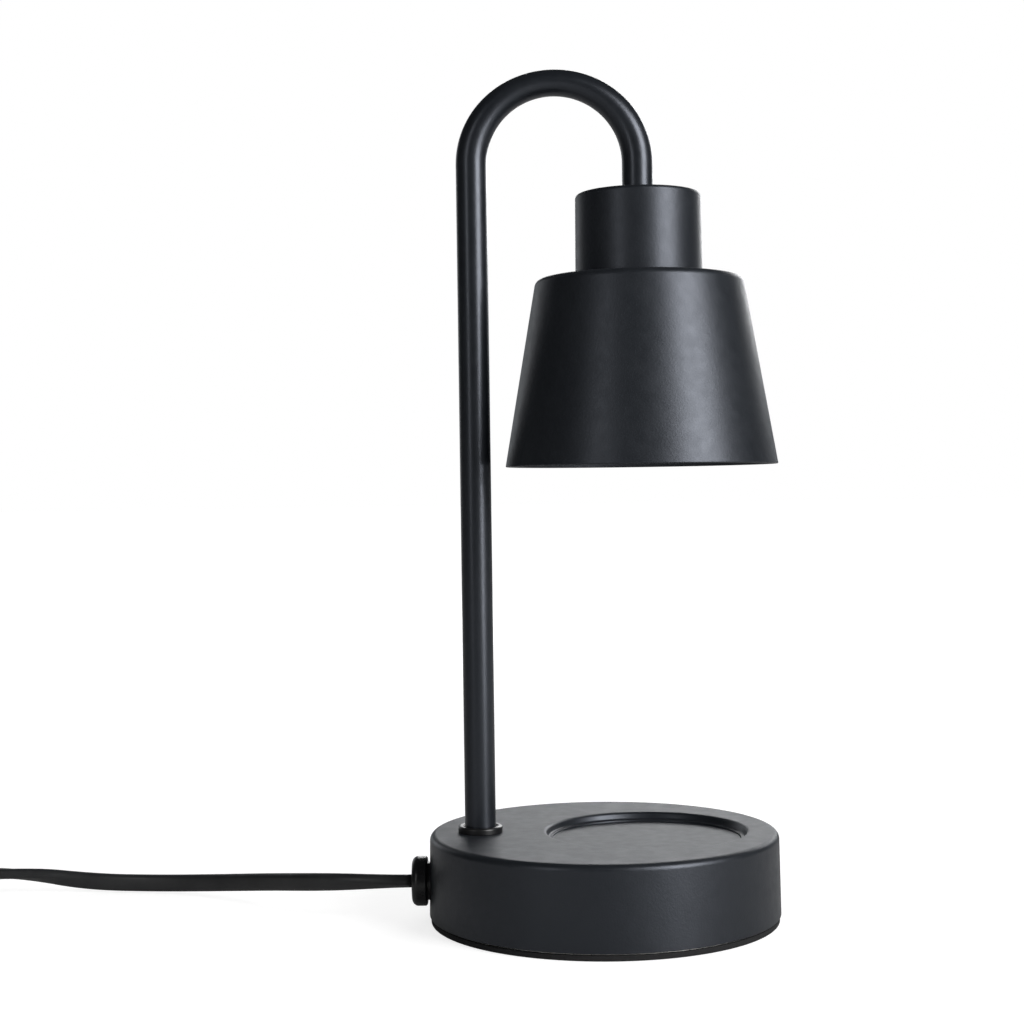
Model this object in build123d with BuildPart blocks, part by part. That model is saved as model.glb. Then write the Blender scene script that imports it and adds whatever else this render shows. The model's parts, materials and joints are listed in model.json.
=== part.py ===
"""A candle warmer lamp: a weighted round base with a candle recess, a tube bent into a hook,
and a conical shade with a lamp holder and a twist-lock reflector bulb above the candle.

Units are millimetres. The origin is the centre of the foot's underside, +Z is up, the pole
stands towards -X, the shade hangs towards +X and the mains cord leaves towards -X.
"""

import os
from math import cos, pi, radians, sin, tan

from build123d import *

os.makedirs("parts", exist_ok=True)

# ---------------------------------------------------------------- driving dimensions

# clearances
FIT = 0.05  # radial play of a shaft, pin or thread in its hole
GAP = 0.3  # play between pieces that only pass each other

# where the two upright axes stand
POLE_X = -42.4
HEAD_X = 14.6

# base
FOOT_INSET = 0.5  # how far the foam stays inside the shell's edge
FOOT_T = 1.9
FOOT_EDGE = 0.5
SEAM = 0.5  # open line between the foot pad and the shell's edge
BASE_H = 30.2
SHELL_R = 60.2
SHELL_TAPER = 0.9  # degrees of draft on the side
SHELL_WALL = 1.0
SHELL_ROUND = 2.2

# candle recess in the base's top
RECESS_R = 34.6
RECESS_DEPTH = 2.4
RECESS_DRAFT = 22
LEDGE_W = 1.3  # small ledge between the recess wall and its floor
LEDGE_DEPTH = 0.6
RIM_ROUND = 1.3

# base filling
PLATE_T = 1.2
PLATE_GAP = 0.4
WEIGHT_PLAY = 4.9  # between the weight and the shell's wall
WEIGHT_T = 16.0
WEIGHT_CHAMFER = 1.0
NOTCH_W = 31.0
NOTCH_PLAY = 3.0  # between the wiring notch and the ends of the crimp caps
BOLT_RING_R = 25.0
BOLT_COUNT = 3
BOLT_D = 4.0
BOLT_HEAD_D = 7.6
BOLT_HEAD_T = 1.3
POCKET_PLAY = 0.1  # between a bolt head and the bottom of its pocket in the foam
STANDOFF_D = 9.0
BOLT_BITE = 4.0  # how far each bolt reaches into its standoff

# tube
TUBE_D = 10.6
TUBE_WALL = 1.4
BEND_R = (HEAD_X - POLE_X) / 2
LEG_H = 10.8  # short leg's straight length above the cup
BEND_FLAT = 1.65  # radial thickness that the bend loses at its top
BEND_BULGE = 0.2  # width that the bend gains there
BEND_STEPS = 8  # stretches between the sections that shape the bend

# threaded joints at both ends of the tube
NIPPLE_BORE = 5.2
NIPPLE_IN_TUBE = 11.0
NIPPLE_IN_BASE = 9.3
WASHER_D = 17.0
WASHER_T = 1.0
NUT_ACROSS = 13.0
NUT_CORNER_D = 14.4  # turned diameter that takes the nut's sharp corners off
NUT_T = 4.5
LEAD_IN = 0.5  # chamfer at the ends of the threads

# collar at the foot of the pole
COLLAR_D = 15.3
COLLAR_H = 2.3
COLLAR_ROUND = 0.7

# cup over the lamp holder
CUP_H = 29.0
CUP_R = 21.75
CUP_TAPER = 0.45
CUP_WALL = 0.9
CUP_ROUND = 1.4

# shade
SHADE_RIM_Z = 155.5  # height of the shade's mouth above the table
SHADE_H = 64.0
SHADE_RIM_R = 46.65
SHADE_TOP_R = 35.5
SHADE_WALL = 0.8
SHADE_ROUND = 2.6

# lamp holder
HOLDER_R = 16.5
SKIRT_R = 14.4
SKIRT_H = 6.4
SKIRT_CHAMFER = 0.8
FACE_T = 3.2  # thickness of the slotted face
HOLDER_H = 10.5  # height above the shade's top
CHAMBER_R = 9.6
CAP_T = 2.0
CAP_H = 8.5
BOSS_R = 8.0
BOSS_H = 3.0
HOLDER_SCREW_R = 13.0
HOLDER_SCREW_D = 2.9
HOLDER_SCREW_HEAD_D = 5.4
HOLDER_SCREW_HEAD_T = 1.8
HOLDER_SCREW_BITE = 7.0
HOLE_SPARE = 1.0  # depth of a screw's hole past its tip
CONTACT_T = 0.5
CONTACT_ARC = 30
CONTACT_H = 10.5

# ring that clamps the shade to the lamp holder
RING_R = 19.0
RING_RISE = 1.2  # height of the ring's underside above the holder's face
RING_NOTCHES = 12
RING_NOTCH_D = 2.6

# twist-lock bulb
PIN_PITCH_R = 5.0
PIN_NECK_D = 3.0
PIN_NECK_H = 3.9
PIN_HEAD_D = 5.0
PIN_HEAD_H = 2.8
PIN_CHAMFER = 0.5
TWIST = 50  # degrees from locked to free
SLOT_PLAY = 0.25
BULB_R = 25.0
BULB_LENGTH = 46.3  # without its pins
BULB_BASE_H = 15.5
BULB_BASE_W = 24.0
BULB_BASE_D = 15.0
BULB_BASE_ROUND = 6.0
BULB_NECK_R = 12.6
BULB_NECK_ROUND = 12.35  # corner radius of the base where it meets the round neck
BULB_RIM_H = 3.2
BOWL_BACK_AT = (0.82, 0.55)  # a point of the bowl's back: share of its radius, of its height
BOWL_FRONT_AT = (0.70, 0.50)  # the same for its mirrored front
REFLECTOR_WALL = 1.5
LENS_T = 2.2
LENS_PLAY = 0.1
LENS_SEAT = 0.8  # width of the ledge behind the glass
CAPSULE_R = 4.4
CAPSULE_H = 15.0
CAPSULE_TIP_R = 4.0
STEM_H = 7.0
STEM_W = 7.4
STEM_T = 2.2
STEM_BITE = 1.0  # how far the stem reaches into the capsule

# mains cord and its bushing
CORD_W = 6.2
CORD_T = 3.8
CORD_TURN = 25  # degrees by which the flat cord is turned where it leaves
CORD_Z = 13.6
CORNER_SHARE = 0.45  # share of the shorter run that a corner's arc takes up
BUSHING_REACH = 5.9  # how far the bushing's face stands out past the shell
BUSHING_L = 15.1
BUSHING_HEAD_D = 16.9
BUSHING_HEAD_T = 5.3
BUSHING_NECK_D = 13.0
BUSHING_ROUND = 2.2
BUSHING_CHAMFER = 0.55
SHEATH_STUB = 2.0  # sheath that shows inside the base before the two wires part
WIRE_D = 1.9
WIRE_PITCH = 2.1
WIRE_RUN = 5.0  # straight run of a wire at its ends
WIRE_LEAD = 1.5  # distance from a nipple's end at which its wires come together
WIRE_SLANT = 3.0  # height over which they do
WIRE_BEND_R = 1.2
SUPPLY_BEND_R = 2.2
CRIMP_D = 6.4
CRIMP_L = 14.0
CRIMP_IN = 14.0  # distance of the caps' mouths from the bushing's inner end
CRIMP_Y = 7.0
CRIMP_Z = 8.5

# switch on the cord
SWITCH_REACH = 192.9  # distance of the switch's middle from the bushing along X
SWITCH_Y = 50.0
SWITCH_L = 60.0
SWITCH_W = 25.0
SWITCH_END_W = 13.0
SWITCH_H = 17.0
SWITCH_SPLIT_Z = 8.0
SWITCH_WALL = 1.8
SWITCH_ROUND = 2.0
SWITCH_CORNER = 3.0
ROCKER_R = 8.2
ROCKER_W = 11.0
ROCKER_Z = 13.2  # height of the rocker's pin
ROCKER_RISE = 3.4  # top of the rocker's middle above its pin
ROCKER_TILT = 8
ROCKER_PIN_D = 2.0
ROCKER_KEEL = 2.4  # depth of the rocker's narrow foot below its pin
EAR_T = 2.0  # ears under the cover that carry the pin
EAR_W = 4.8
SWITCH_SCREW_X = 19.0
SWITCH_SCREW_D = 2.5
SWITCH_SCREW_BITE = 3.6  # how far a screw reaches into the cover
SWITCH_SCREW_HEAD_D = 4.6
SWITCH_SCREW_HEAD_T = 1.6
SWITCH_BOSS_WALL = 1.3
STRIP_L = 16.0
STRIP_W = 2.6
STRIP_T = 1.2
STRIP_Y = 3.5
POST_X = 7.0  # the raised end of each contact strip
POST_H = 4.4

# coil of put-away cord
COIL_REACH = 38.0  # distance of the coil's middle from the switch's along X
COIL_Y = -20.0
COIL_Z = 1.0
COIL_INNER_R = 28.9
COIL_OUTER_R = 41.5
COIL_H = 12.9
COIL_PLAY = 0.2  # between the outermost turn and the ring's outer edge
TIE_W = 5.0
TIE_PLAY = 0.12
TIE_ANGLES = (45, 225)
TIE_T = 0.8

# plug
PLUG_REACH = 35.0  # distance of the plug's cord end from the coil's middle along X
PLUG_Y = -63.0
PLUG_Z = 7.2
PLUG_NECK_D = 8.4
PLUG_NECK_L = 10.0
PLUG_THROAT_W = 11.4  # width where the neck becomes the body
PLUG_THROAT_ROUND = 3.5
PLUG_BODY_L = 31.0
PLUG_GRIP_AT = 14.0  # distance of the grip's section from the throat
PLUG_GRIP_W = 20.6
PLUG_GRIP_H = 12.1
PLUG_W = 24.0
PLUG_H = 13.4
PLUG_ROUND = 4.2
PLUG_FACE_T = 8.7  # straight stretch behind the plug's face
PLUG_FACE_ROUND = 1.4
BLADE_ROOT = 8.0  # length of each blade inside the body
BLADE_PITCH = 12.7
BLADE_H = 6.35
BLADE_T = 1.5
BLADE_L = 16.0
BLADE_HOLE_D = 3.0
BLADE_HOLE_FROM_TIP = 4.2

# ---------------------------------------------------------------- worked-out values

FOOT_R = SHELL_R - FOOT_INSET
SHELL_Z = FOOT_T + SEAM
PLATE_Z = FOOT_T
WEIGHT_R = SHELL_R - SHELL_WALL - WEIGHT_PLAY
WEIGHT_Z = PLATE_Z + PLATE_T
SHELL_TOP_INSIDE = BASE_H - SHELL_WALL
RECESS_FLOOR_Z = BASE_H - RECESS_DEPTH - LEDGE_DEPTH
RECESS_UNDER_Z = RECESS_FLOOR_Z - SHELL_WALL
TUBE_BORE = TUBE_D - 2 * TUBE_WALL
NIPPLE_D = TUBE_BORE - 2 * FIT
NIPPLE_HOLE_D = NIPPLE_D + 2 * FIT
POLE_NIPPLE_Z = BASE_H - NIPPLE_IN_BASE
POLE_WASHER_Z = SHELL_TOP_INSIDE - WASHER_T

SHADE_TOP_Z = SHADE_RIM_Z + SHADE_H
CUP_TOP_Z = SHADE_TOP_Z + CUP_H
HOOK_Z = CUP_TOP_Z + LEG_H
CUP_INSIDE_Z = CUP_TOP_Z - CUP_WALL
CUP_WASHER_Z = CUP_INSIDE_Z - WASHER_T
CUP_NUT_Z = CUP_WASHER_Z - NUT_T
CAP_Z = SHADE_TOP_Z + HOLDER_H
CAP_TOP_Z = CAP_Z + CAP_H
BOSS_TOP_Z = CAP_TOP_Z + BOSS_H
HEAD_NIPPLE_Z = CAP_TOP_Z - CAP_T
FACE_Z = SHADE_TOP_Z - SKIRT_H
FACE_TOP_Z = FACE_Z + FACE_T
SHADE_UNDER_Z = SHADE_TOP_Z - SHADE_WALL
RING_BOTTOM_Z = FACE_Z + RING_RISE
BULB_TOP_Z = FACE_Z - GAP
BULB_FACE_Z = BULB_TOP_Z - BULB_LENGTH
BULB_NECK_Z = BULB_TOP_Z - BULB_BASE_H

BUSHING_X = -SHELL_R - BUSHING_REACH
BUSHING_INNER_X = BUSHING_X + BUSHING_L
CORD_EXIT = (BUSHING_X, 0, CORD_Z)
CRIMP_X = BUSHING_INNER_X + CRIMP_IN
NOTCH_X = CRIMP_X + CRIMP_L + NOTCH_PLAY
SWITCH_X = BUSHING_X - SWITCH_REACH
COIL_X = SWITCH_X - COIL_REACH
PLUG_X = COIL_X + PLUG_REACH
SWITCH_ENTRY_X = SWITCH_X + SWITCH_L / 2
SWITCH_EXIT_X = SWITCH_X - SWITCH_L / 2
COIL_TURN_R = COIL_OUTER_R - CORD_T / 2 - COIL_PLAY
COIL_MIDDLE_R = (COIL_INNER_R + COIL_OUTER_R) / 2
TIE_HOLE_W = COIL_OUTER_R - COIL_INNER_R + 2 * TIE_PLAY
TIE_HOLE_H = COIL_H + 2 * TIE_PLAY
COIL_LOW_Z = COIL_Z + CORD_W / 2
COIL_HIGH_Z = COIL_Z + COIL_H - CORD_W / 2

LEDGE_R = RECESS_R - RECESS_DEPTH * tan(radians(RECESS_DRAFT)) - LEDGE_W
CONTACT_R = PIN_PITCH_R + PIN_HEAD_D / 2 + GAP + CONTACT_T / 2
CONTACT_TOP_Z = FACE_TOP_Z + CONTACT_H
LENS_R = BULB_R - REFLECTOR_WALL - LENS_PLAY
LENS_TOP_Z = BULB_FACE_Z + GAP + LENS_T

POLE_AXIS = Location((POLE_X, 0, 0))
HEAD_AXIS = Location((HEAD_X, 0, 0))


def at_height(place, height):
    """The horizontal plane at a height, centred on one of the upright axes."""
    return Plane.XY.offset(height).move(place)


def upright_section(place):
    """The XZ plane through one of the upright axes, for revolved profiles."""
    return Plane.XZ.move(place)


def across_x(x, y, z):
    """The upright plane across the X axis, centred on a point."""
    return Plane.YZ.offset(x).shift_origin((x, y, z))


def circles_of_radius(piece, radius):
    """The circular edges of one radius."""
    circles = piece.edges().filter_by(GeomType.CIRCLE)
    return circles.filter_by(lambda edge: abs(edge.radius - radius) < FIT / 10)


def corner_radii(points):
    """Radius of the arc at each corner of a cord's route: as large as its two runs allow."""
    corners = [Vector(*point) for point in points]
    radii = []
    for before, here, after in zip(corners, corners[1:], corners[2:]):
        run_in, run_out = here - before, after - here
        half_turn = radians(run_in.get_angle(run_out) / 2)
        radii.append(CORNER_SHARE * min(run_in.length, run_out.length) / tan(half_turn))
    return radii


# ---------------------------------------------------------------- base

# Pressed steel shell with the stepped candle recess.
with BuildPart() as base_shell:
    with BuildSketch(Plane.XY.offset(SHELL_Z)):
        Circle(SHELL_R)
    extrude(amount=BASE_H - SHELL_Z, taper=SHELL_TAPER)
    fillet(base_shell.edges().group_by(Axis.Z)[-1], SHELL_ROUND)
    with BuildSketch(at_height(HEAD_AXIS, BASE_H)):
        Circle(RECESS_R)
    extrude(amount=-RECESS_DEPTH, taper=RECESS_DRAFT, mode=Mode.SUBTRACT)
    with BuildSketch(at_height(HEAD_AXIS, BASE_H - RECESS_DEPTH)):
        Circle(LEDGE_R)
    extrude(amount=-LEDGE_DEPTH, mode=Mode.SUBTRACT)
    fillet(circles_of_radius(base_shell, RECESS_R), RIM_ROUND)
    offset(amount=-SHELL_WALL, openings=base_shell.faces().sort_by(Axis.Z)[0])
    with Locations((POLE_X, 0, BASE_H)):
        Hole(NIPPLE_HOLE_D / 2, depth=2 * SHELL_WALL)
    with Locations(Location((-SHELL_R, 0, CORD_Z), (0, -90, 0))):
        Hole(BUSHING_NECK_D / 2 + FIT, depth=SHELL_R / 2)
base_shell.part.label = "base_shell"
export_step(base_shell.part, "parts/base_shell.step")

# Cast weight with a notch for the wiring and holes for the bolts.
with BuildPart() as base_weight:
    with BuildSketch(Plane.XY.offset(WEIGHT_Z)):
        Circle(WEIGHT_R)
        with Locations((NOTCH_X, 0)):
            Rectangle(WEIGHT_R, NOTCH_W, align=(Align.MAX, Align.CENTER), mode=Mode.SUBTRACT)
    extrude(amount=WEIGHT_T)
    chamfer(base_weight.edges().group_by(Axis.Z)[-1].filter_by(GeomType.CIRCLE), WEIGHT_CHAMFER)
    with Locations(at_height(HEAD_AXIS, WEIGHT_Z + WEIGHT_T)):
        with PolarLocations(BOLT_RING_R, BOLT_COUNT):
            Hole(BOLT_D / 2 + GAP)
base_weight.part.label = "base_weight"
export_step(base_weight.part, "parts/base_weight.step")

# Steel plate that closes the shell, countersunk for the bolts.
with BuildPart() as bottom_plate:
    with BuildSketch(Plane.XY.offset(PLATE_Z)):
        Circle(SHELL_R - SHELL_WALL - PLATE_GAP)
    extrude(amount=PLATE_T)
    with BuildSketch(at_height(HEAD_AXIS, PLATE_Z)):
        with PolarLocations(BOLT_RING_R, BOLT_COUNT):
            Circle(BOLT_D / 2 + GAP)
    extrude(amount=PLATE_T, mode=Mode.SUBTRACT)
bottom_plate.part.label = "bottom_plate"
export_step(bottom_plate.part, "parts/bottom_plate.step")

# Foam pad that the lamp stands on, with a pocket over each bolt head.
with BuildPart() as foot_pad:
    with BuildSketch():
        Circle(FOOT_R)
    extrude(amount=FOOT_T)
    fillet(foot_pad.edges().filter_by(GeomType.CIRCLE), FOOT_EDGE)
    with BuildSketch(at_height(HEAD_AXIS, FOOT_T)):
        with PolarLocations(BOLT_RING_R, BOLT_COUNT):
            Circle(BOLT_HEAD_D / 2 + GAP)
    extrude(amount=-BOLT_HEAD_T - POCKET_PLAY, mode=Mode.SUBTRACT)
foot_pad.part.label = "foot_pad"
export_step(foot_pad.part, "parts/foot_pad.step")

# Threaded standoffs welded under the recess; the bolts pull the weight up against them.
with BuildPart() as standoffs:
    with BuildSketch(at_height(HEAD_AXIS, WEIGHT_Z + WEIGHT_T)):
        with PolarLocations(BOLT_RING_R, BOLT_COUNT):
            Circle(STANDOFF_D / 2)
            Circle(BOLT_D / 2 + FIT, mode=Mode.SUBTRACT)
    extrude(amount=RECESS_UNDER_Z - WEIGHT_Z - WEIGHT_T)
standoffs.part.label = "standoffs"
export_step(standoffs.part, "parts/standoffs.step")

# Bolts with low heads and a driver recess.
with BuildPart() as base_bolts:
    with BuildSketch(at_height(HEAD_AXIS, PLATE_Z)):
        with PolarLocations(BOLT_RING_R, BOLT_COUNT):
            Circle(BOLT_HEAD_D / 2)
    extrude(amount=-BOLT_HEAD_T)
    with BuildSketch(at_height(HEAD_AXIS, PLATE_Z)):
        with PolarLocations(BOLT_RING_R, BOLT_COUNT):
            Circle(BOLT_D / 2)
    extrude(amount=PLATE_T + WEIGHT_T + BOLT_BITE)
    with BuildSketch(at_height(HEAD_AXIS, PLATE_Z - BOLT_HEAD_T)):
        with PolarLocations(BOLT_RING_R, BOLT_COUNT):
            RegularPolygon(BOLT_D / 3, 6)
    extrude(amount=BOLT_HEAD_T / 2, mode=Mode.SUBTRACT)
base_bolts.part.label = "base_bolts"
export_step(base_bolts.part, "parts/base_bolts.step")

# Moulded bushing that grips the flat cord in the shell's wall.
with BuildPart() as cord_bushing:
    with BuildSketch(across_x(*CORD_EXIT)):
        Circle(BUSHING_HEAD_D / 2)
    extrude(amount=BUSHING_HEAD_T)
    fillet(cord_bushing.edges().group_by(Axis.X)[0], BUSHING_ROUND)
    chamfer(cord_bushing.edges().group_by(Axis.X)[-1], BUSHING_CHAMFER)
    with BuildSketch(across_x(*CORD_EXIT)):
        Circle(BUSHING_NECK_D / 2)
    extrude(amount=BUSHING_L)
    with BuildSketch(across_x(*CORD_EXIT)):
        SlotOverall(CORD_W + 2 * FIT, CORD_T + 2 * FIT, rotation=CORD_TURN)
    extrude(amount=BUSHING_L, mode=Mode.SUBTRACT)
cord_bushing.part.label = "cord_bushing"
export_step(cord_bushing.part, "parts/cord_bushing.step")

# End of the mains cord inside the base, split into its two wires.
with BuildPart() as supply_lead:
    with BuildSketch(across_x(*CORD_EXIT)):
        SlotOverall(CORD_W, CORD_T, rotation=CORD_TURN)
    extrude(amount=BUSHING_L + SHEATH_STUB)
    for side in (-1, 1):
        start_y, cap_y = side * WIRE_PITCH / 2, side * (CRIMP_Y - WIRE_PITCH / 2)
        with BuildLine() as supply_path:
            FilletPolyline(
                (BUSHING_INNER_X, start_y, CORD_Z),
                (BUSHING_INNER_X + WIRE_RUN, start_y, CORD_Z),
                (CRIMP_X - WIRE_RUN, cap_y, CRIMP_Z),
                (CRIMP_X, cap_y, CRIMP_Z),
                radius=SUPPLY_BEND_R,
            )
        with BuildSketch(Plane(supply_path.line @ 0, z_dir=supply_path.line % 0)):
            Circle(WIRE_D / 2)
        sweep(path=supply_path.line)
supply_lead.part.label = "supply_lead"
export_step(supply_lead.part, "parts/supply_lead.step")

# Closed crimp caps that join the supply wires to the wires of the tube.
with BuildPart() as crimp_caps:
    for side in (-1, 1):
        with BuildSketch(across_x(CRIMP_X, side * CRIMP_Y, CRIMP_Z)):
            Circle(CRIMP_D / 2)
        extrude(amount=CRIMP_L)
    fillet(crimp_caps.edges().group_by(Axis.X)[-1], CRIMP_D / 5)
crimp_caps.part.label = "crimp_caps"
export_step(crimp_caps.part, "parts/crimp_caps.step")

# ---------------------------------------------------------------- tube


def bend_section(angle, radius):
    """Section of the bend at an angle from the pole: round at its ends, flattened on top."""
    flat = sin(radians(angle)) ** 2
    radial = radius - BEND_FLAT / 2 * flat
    across = radius + BEND_BULGE / 2 * flat
    inner_side = BEND_R - radius
    centre = Vector(HEAD_X - BEND_R, 0, HOOK_Z)
    outward = Vector(-cos(radians(angle)), 0, sin(radians(angle)))
    along = Vector(sin(radians(angle)), 0, cos(radians(angle)))
    return Plane(centre + outward * (inner_side + radial), x_dir=outward, z_dir=along), radial, across


# Pole, hook and short leg: one bent tube, hollow all the way.
with BuildPart() as neck_tube:
    with BuildSketch(at_height(POLE_AXIS, BASE_H)):
        Circle(TUBE_D / 2)
    extrude(amount=HOOK_Z - BASE_H)
    with BuildSketch(at_height(HEAD_AXIS, CUP_TOP_Z)):
        Circle(TUBE_D / 2)
    extrude(amount=HOOK_Z - CUP_TOP_Z)
    for step in range(BEND_STEPS + 1):
        plane, radial, across = bend_section(180 * step / BEND_STEPS, TUBE_D / 2)
        with BuildSketch(plane):
            Ellipse(radial, across)
    loft()
    with BuildSketch(at_height(POLE_AXIS, BASE_H)):
        Circle(TUBE_BORE / 2)
    extrude(amount=HOOK_Z - BASE_H, mode=Mode.SUBTRACT)
    with BuildSketch(at_height(HEAD_AXIS, CUP_TOP_Z)):
        Circle(TUBE_BORE / 2)
    extrude(amount=HOOK_Z - CUP_TOP_Z, mode=Mode.SUBTRACT)
    for step in range(BEND_STEPS + 1):
        plane, radial, across = bend_section(180 * step / BEND_STEPS, TUBE_D / 2)
        with BuildSketch(plane):
            Ellipse(radial - TUBE_WALL, across - TUBE_WALL)
    loft(mode=Mode.SUBTRACT)
neck_tube.part.label = "neck_tube"
export_step(neck_tube.part, "parts/neck_tube.step")

# Ring around the foot of the pole.
with BuildPart() as pole_collar:
    with BuildSketch(at_height(POLE_AXIS, BASE_H)):
        Circle(COLLAR_D / 2)
    extrude(amount=COLLAR_H)
    fillet(pole_collar.edges().group_by(Axis.Z)[-1], COLLAR_ROUND)
    with Locations((POLE_X, 0, BASE_H + COLLAR_H)):
        Hole(TUBE_D / 2 + FIT)
pole_collar.part.label = "pole_collar"
export_step(pole_collar.part, "parts/pole_collar.step")


def sleeve(place, bottom, top, outer_d, inner_d, lead_in=0.0):
    """A plain ring, washer or nipple on one of the upright axes."""
    with BuildPart() as piece:
        with BuildSketch(at_height(place, bottom)):
            Circle(outer_d / 2)
            Circle(inner_d / 2, mode=Mode.SUBTRACT)
        extrude(amount=top - bottom)
        if lead_in:
            chamfer(circles_of_radius(piece, outer_d / 2), lead_in)
    return piece


def hex_nut(place, bottom):
    """A nut with rounded-off corners on one of the upright axes."""
    with BuildPart() as piece:
        with BuildSketch(at_height(place, bottom)):
            RegularPolygon(NUT_ACROSS / 2, 6, major_radius=False)
            Circle(NUT_CORNER_D / 2, mode=Mode.INTERSECT)
            Circle(NIPPLE_HOLE_D / 2, mode=Mode.SUBTRACT)
        extrude(amount=NUT_T)
    return piece


# Hollow threaded nipples, each with its washer and nut: one set through the base shell,
# one through the cup.
pole_nipple = sleeve(
    POLE_AXIS, POLE_NIPPLE_Z, BASE_H + NIPPLE_IN_TUBE, NIPPLE_D, NIPPLE_BORE, LEAD_IN
)
pole_nipple.part.label = "pole_nipple"
export_step(pole_nipple.part, "parts/pole_nipple.step")

pole_washer = sleeve(POLE_AXIS, POLE_WASHER_Z, SHELL_TOP_INSIDE, WASHER_D, NIPPLE_HOLE_D)
pole_washer.part.label = "pole_washer"
export_step(pole_washer.part, "parts/pole_washer.step")

pole_nut = hex_nut(POLE_AXIS, POLE_WASHER_Z - NUT_T)
pole_nut.part.label = "pole_nut"
export_step(pole_nut.part, "parts/pole_nut.step")

head_nipple = sleeve(
    HEAD_AXIS, HEAD_NIPPLE_Z, CUP_TOP_Z + NIPPLE_IN_TUBE, NIPPLE_D, NIPPLE_BORE, LEAD_IN
)
head_nipple.part.label = "head_nipple"
export_step(head_nipple.part, "parts/head_nipple.step")

cup_washer = sleeve(HEAD_AXIS, CUP_WASHER_Z, CUP_INSIDE_Z, WASHER_D, NIPPLE_HOLE_D)
cup_washer.part.label = "cup_washer"
export_step(cup_washer.part, "parts/cup_washer.step")

cup_nut = hex_nut(HEAD_AXIS, CUP_NUT_Z)
cup_nut.part.label = "cup_nut"
export_step(cup_nut.part, "parts/cup_nut.step")

# Two insulated wires from the crimp caps, up the pole, round the bend and down to the holder.
with BuildPart() as tube_wires:
    for side in (-1, 1):
        y = side * WIRE_PITCH / 2
        cap_y = side * (CRIMP_Y + WIRE_PITCH / 2)
        contact_x = HEAD_X + side * CONTACT_R
        with BuildLine() as wire_path:
            low = FilletPolyline(
                (CRIMP_X, cap_y, CRIMP_Z),
                (CRIMP_X - WIRE_RUN, cap_y, CRIMP_Z),
                (CRIMP_X - WIRE_RUN, cap_y, POLE_NIPPLE_Z - WIRE_LEAD - WIRE_SLANT),
                (POLE_X, y, POLE_NIPPLE_Z - WIRE_LEAD),
                (POLE_X, y, BASE_H),
                radius=WIRE_BEND_R,
            )
            pole_run = Line(low @ 1, (POLE_X, y, HOOK_Z))
            bend_run = ThreePointArc(
                pole_run @ 1, (HEAD_X - BEND_R, y, HOOK_Z + BEND_R), (HEAD_X, y, HOOK_Z)
            )
            FilletPolyline(
                bend_run @ 1,
                (HEAD_X, y, HEAD_NIPPLE_Z - WIRE_LEAD),
                (contact_x, y, HEAD_NIPPLE_Z - WIRE_LEAD - WIRE_SLANT),
                (contact_x, y, CONTACT_TOP_Z),
                radius=WIRE_BEND_R,
            )
        with BuildSketch(Plane(wire_path.line @ 0, z_dir=wire_path.line % 0)):
            Circle(WIRE_D / 2)
        sweep(path=wire_path.line)
tube_wires.part.label = "tube_wires"
export_step(tube_wires.part, "parts/tube_wires.step")

# ---------------------------------------------------------------- head

# Cup that hides the lamp holder, clamped to the end of the tube.
with BuildPart() as cup:
    with BuildSketch(at_height(HEAD_AXIS, SHADE_TOP_Z)):
        Circle(CUP_R)
    extrude(amount=CUP_TOP_Z - SHADE_TOP_Z, taper=CUP_TAPER)
    fillet(cup.edges().group_by(Axis.Z)[-1], CUP_ROUND)
    offset(amount=-CUP_WALL, openings=cup.faces().sort_by(Axis.Z)[0])
    with Locations((HEAD_X, 0, CUP_TOP_Z)):
        Hole(NIPPLE_HOLE_D / 2, depth=2 * CUP_WALL)
cup.part.label = "cup"
export_step(cup.part, "parts/cup.step")

# Spun conical shade with a rounded shoulder.
with BuildPart() as shade:
    with BuildSketch(at_height(HEAD_AXIS, SHADE_RIM_Z)):
        Circle(SHADE_RIM_R)
    with BuildSketch(at_height(HEAD_AXIS, SHADE_TOP_Z)):
        Circle(SHADE_TOP_R)
    loft(ruled=True)
    fillet(shade.edges().group_by(Axis.Z)[-1], SHADE_ROUND)
    offset(amount=-SHADE_WALL, openings=shade.faces().sort_by(Axis.Z)[0])
    with Locations((HEAD_X, 0, SHADE_TOP_Z)):
        Hole(SKIRT_R + GAP / 2, depth=2 * SHADE_WALL)
shade.part.label = "shade"
export_step(shade.part, "parts/shade.step")

# Ceramic lamp holder: a shoulder on the shade, a skirt through it, and curved keyhole slots.
with BuildPart() as holder_body:
    with BuildSketch(at_height(HEAD_AXIS, SHADE_TOP_Z)):
        Circle(HOLDER_R)
    extrude(amount=HOLDER_H)
    with BuildSketch(at_height(HEAD_AXIS, FACE_Z)):
        Circle(SKIRT_R)
    extrude(amount=SKIRT_H)
    chamfer(holder_body.edges().group_by(Axis.Z)[0], SKIRT_CHAMFER)
    with BuildSketch(at_height(HEAD_AXIS, FACE_TOP_Z)):
        Circle(CHAMBER_R)
    extrude(amount=CAP_Z - FACE_TOP_Z, mode=Mode.SUBTRACT)
    with BuildSketch(at_height(HEAD_AXIS, FACE_Z)):
        for turn in (0, 180):
            with BuildLine(mode=Mode.PRIVATE) as slot_path:
                CenterArc((0, 0), PIN_PITCH_R, turn - TWIST, TWIST)
            SlotArc(slot_path.edges()[0], PIN_NECK_D + 2 * SLOT_PLAY)
            with PolarLocations(PIN_PITCH_R, 1, start_angle=turn - TWIST):
                Circle(PIN_HEAD_D / 2 + SLOT_PLAY)
    extrude(amount=FACE_T, mode=Mode.SUBTRACT)
    with Locations(at_height(HEAD_AXIS, CAP_Z)):
        with PolarLocations(HOLDER_SCREW_R, 2, start_angle=90):
            Hole(HOLDER_SCREW_D / 2 + FIT, depth=HOLDER_SCREW_BITE + HOLE_SPARE)
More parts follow.
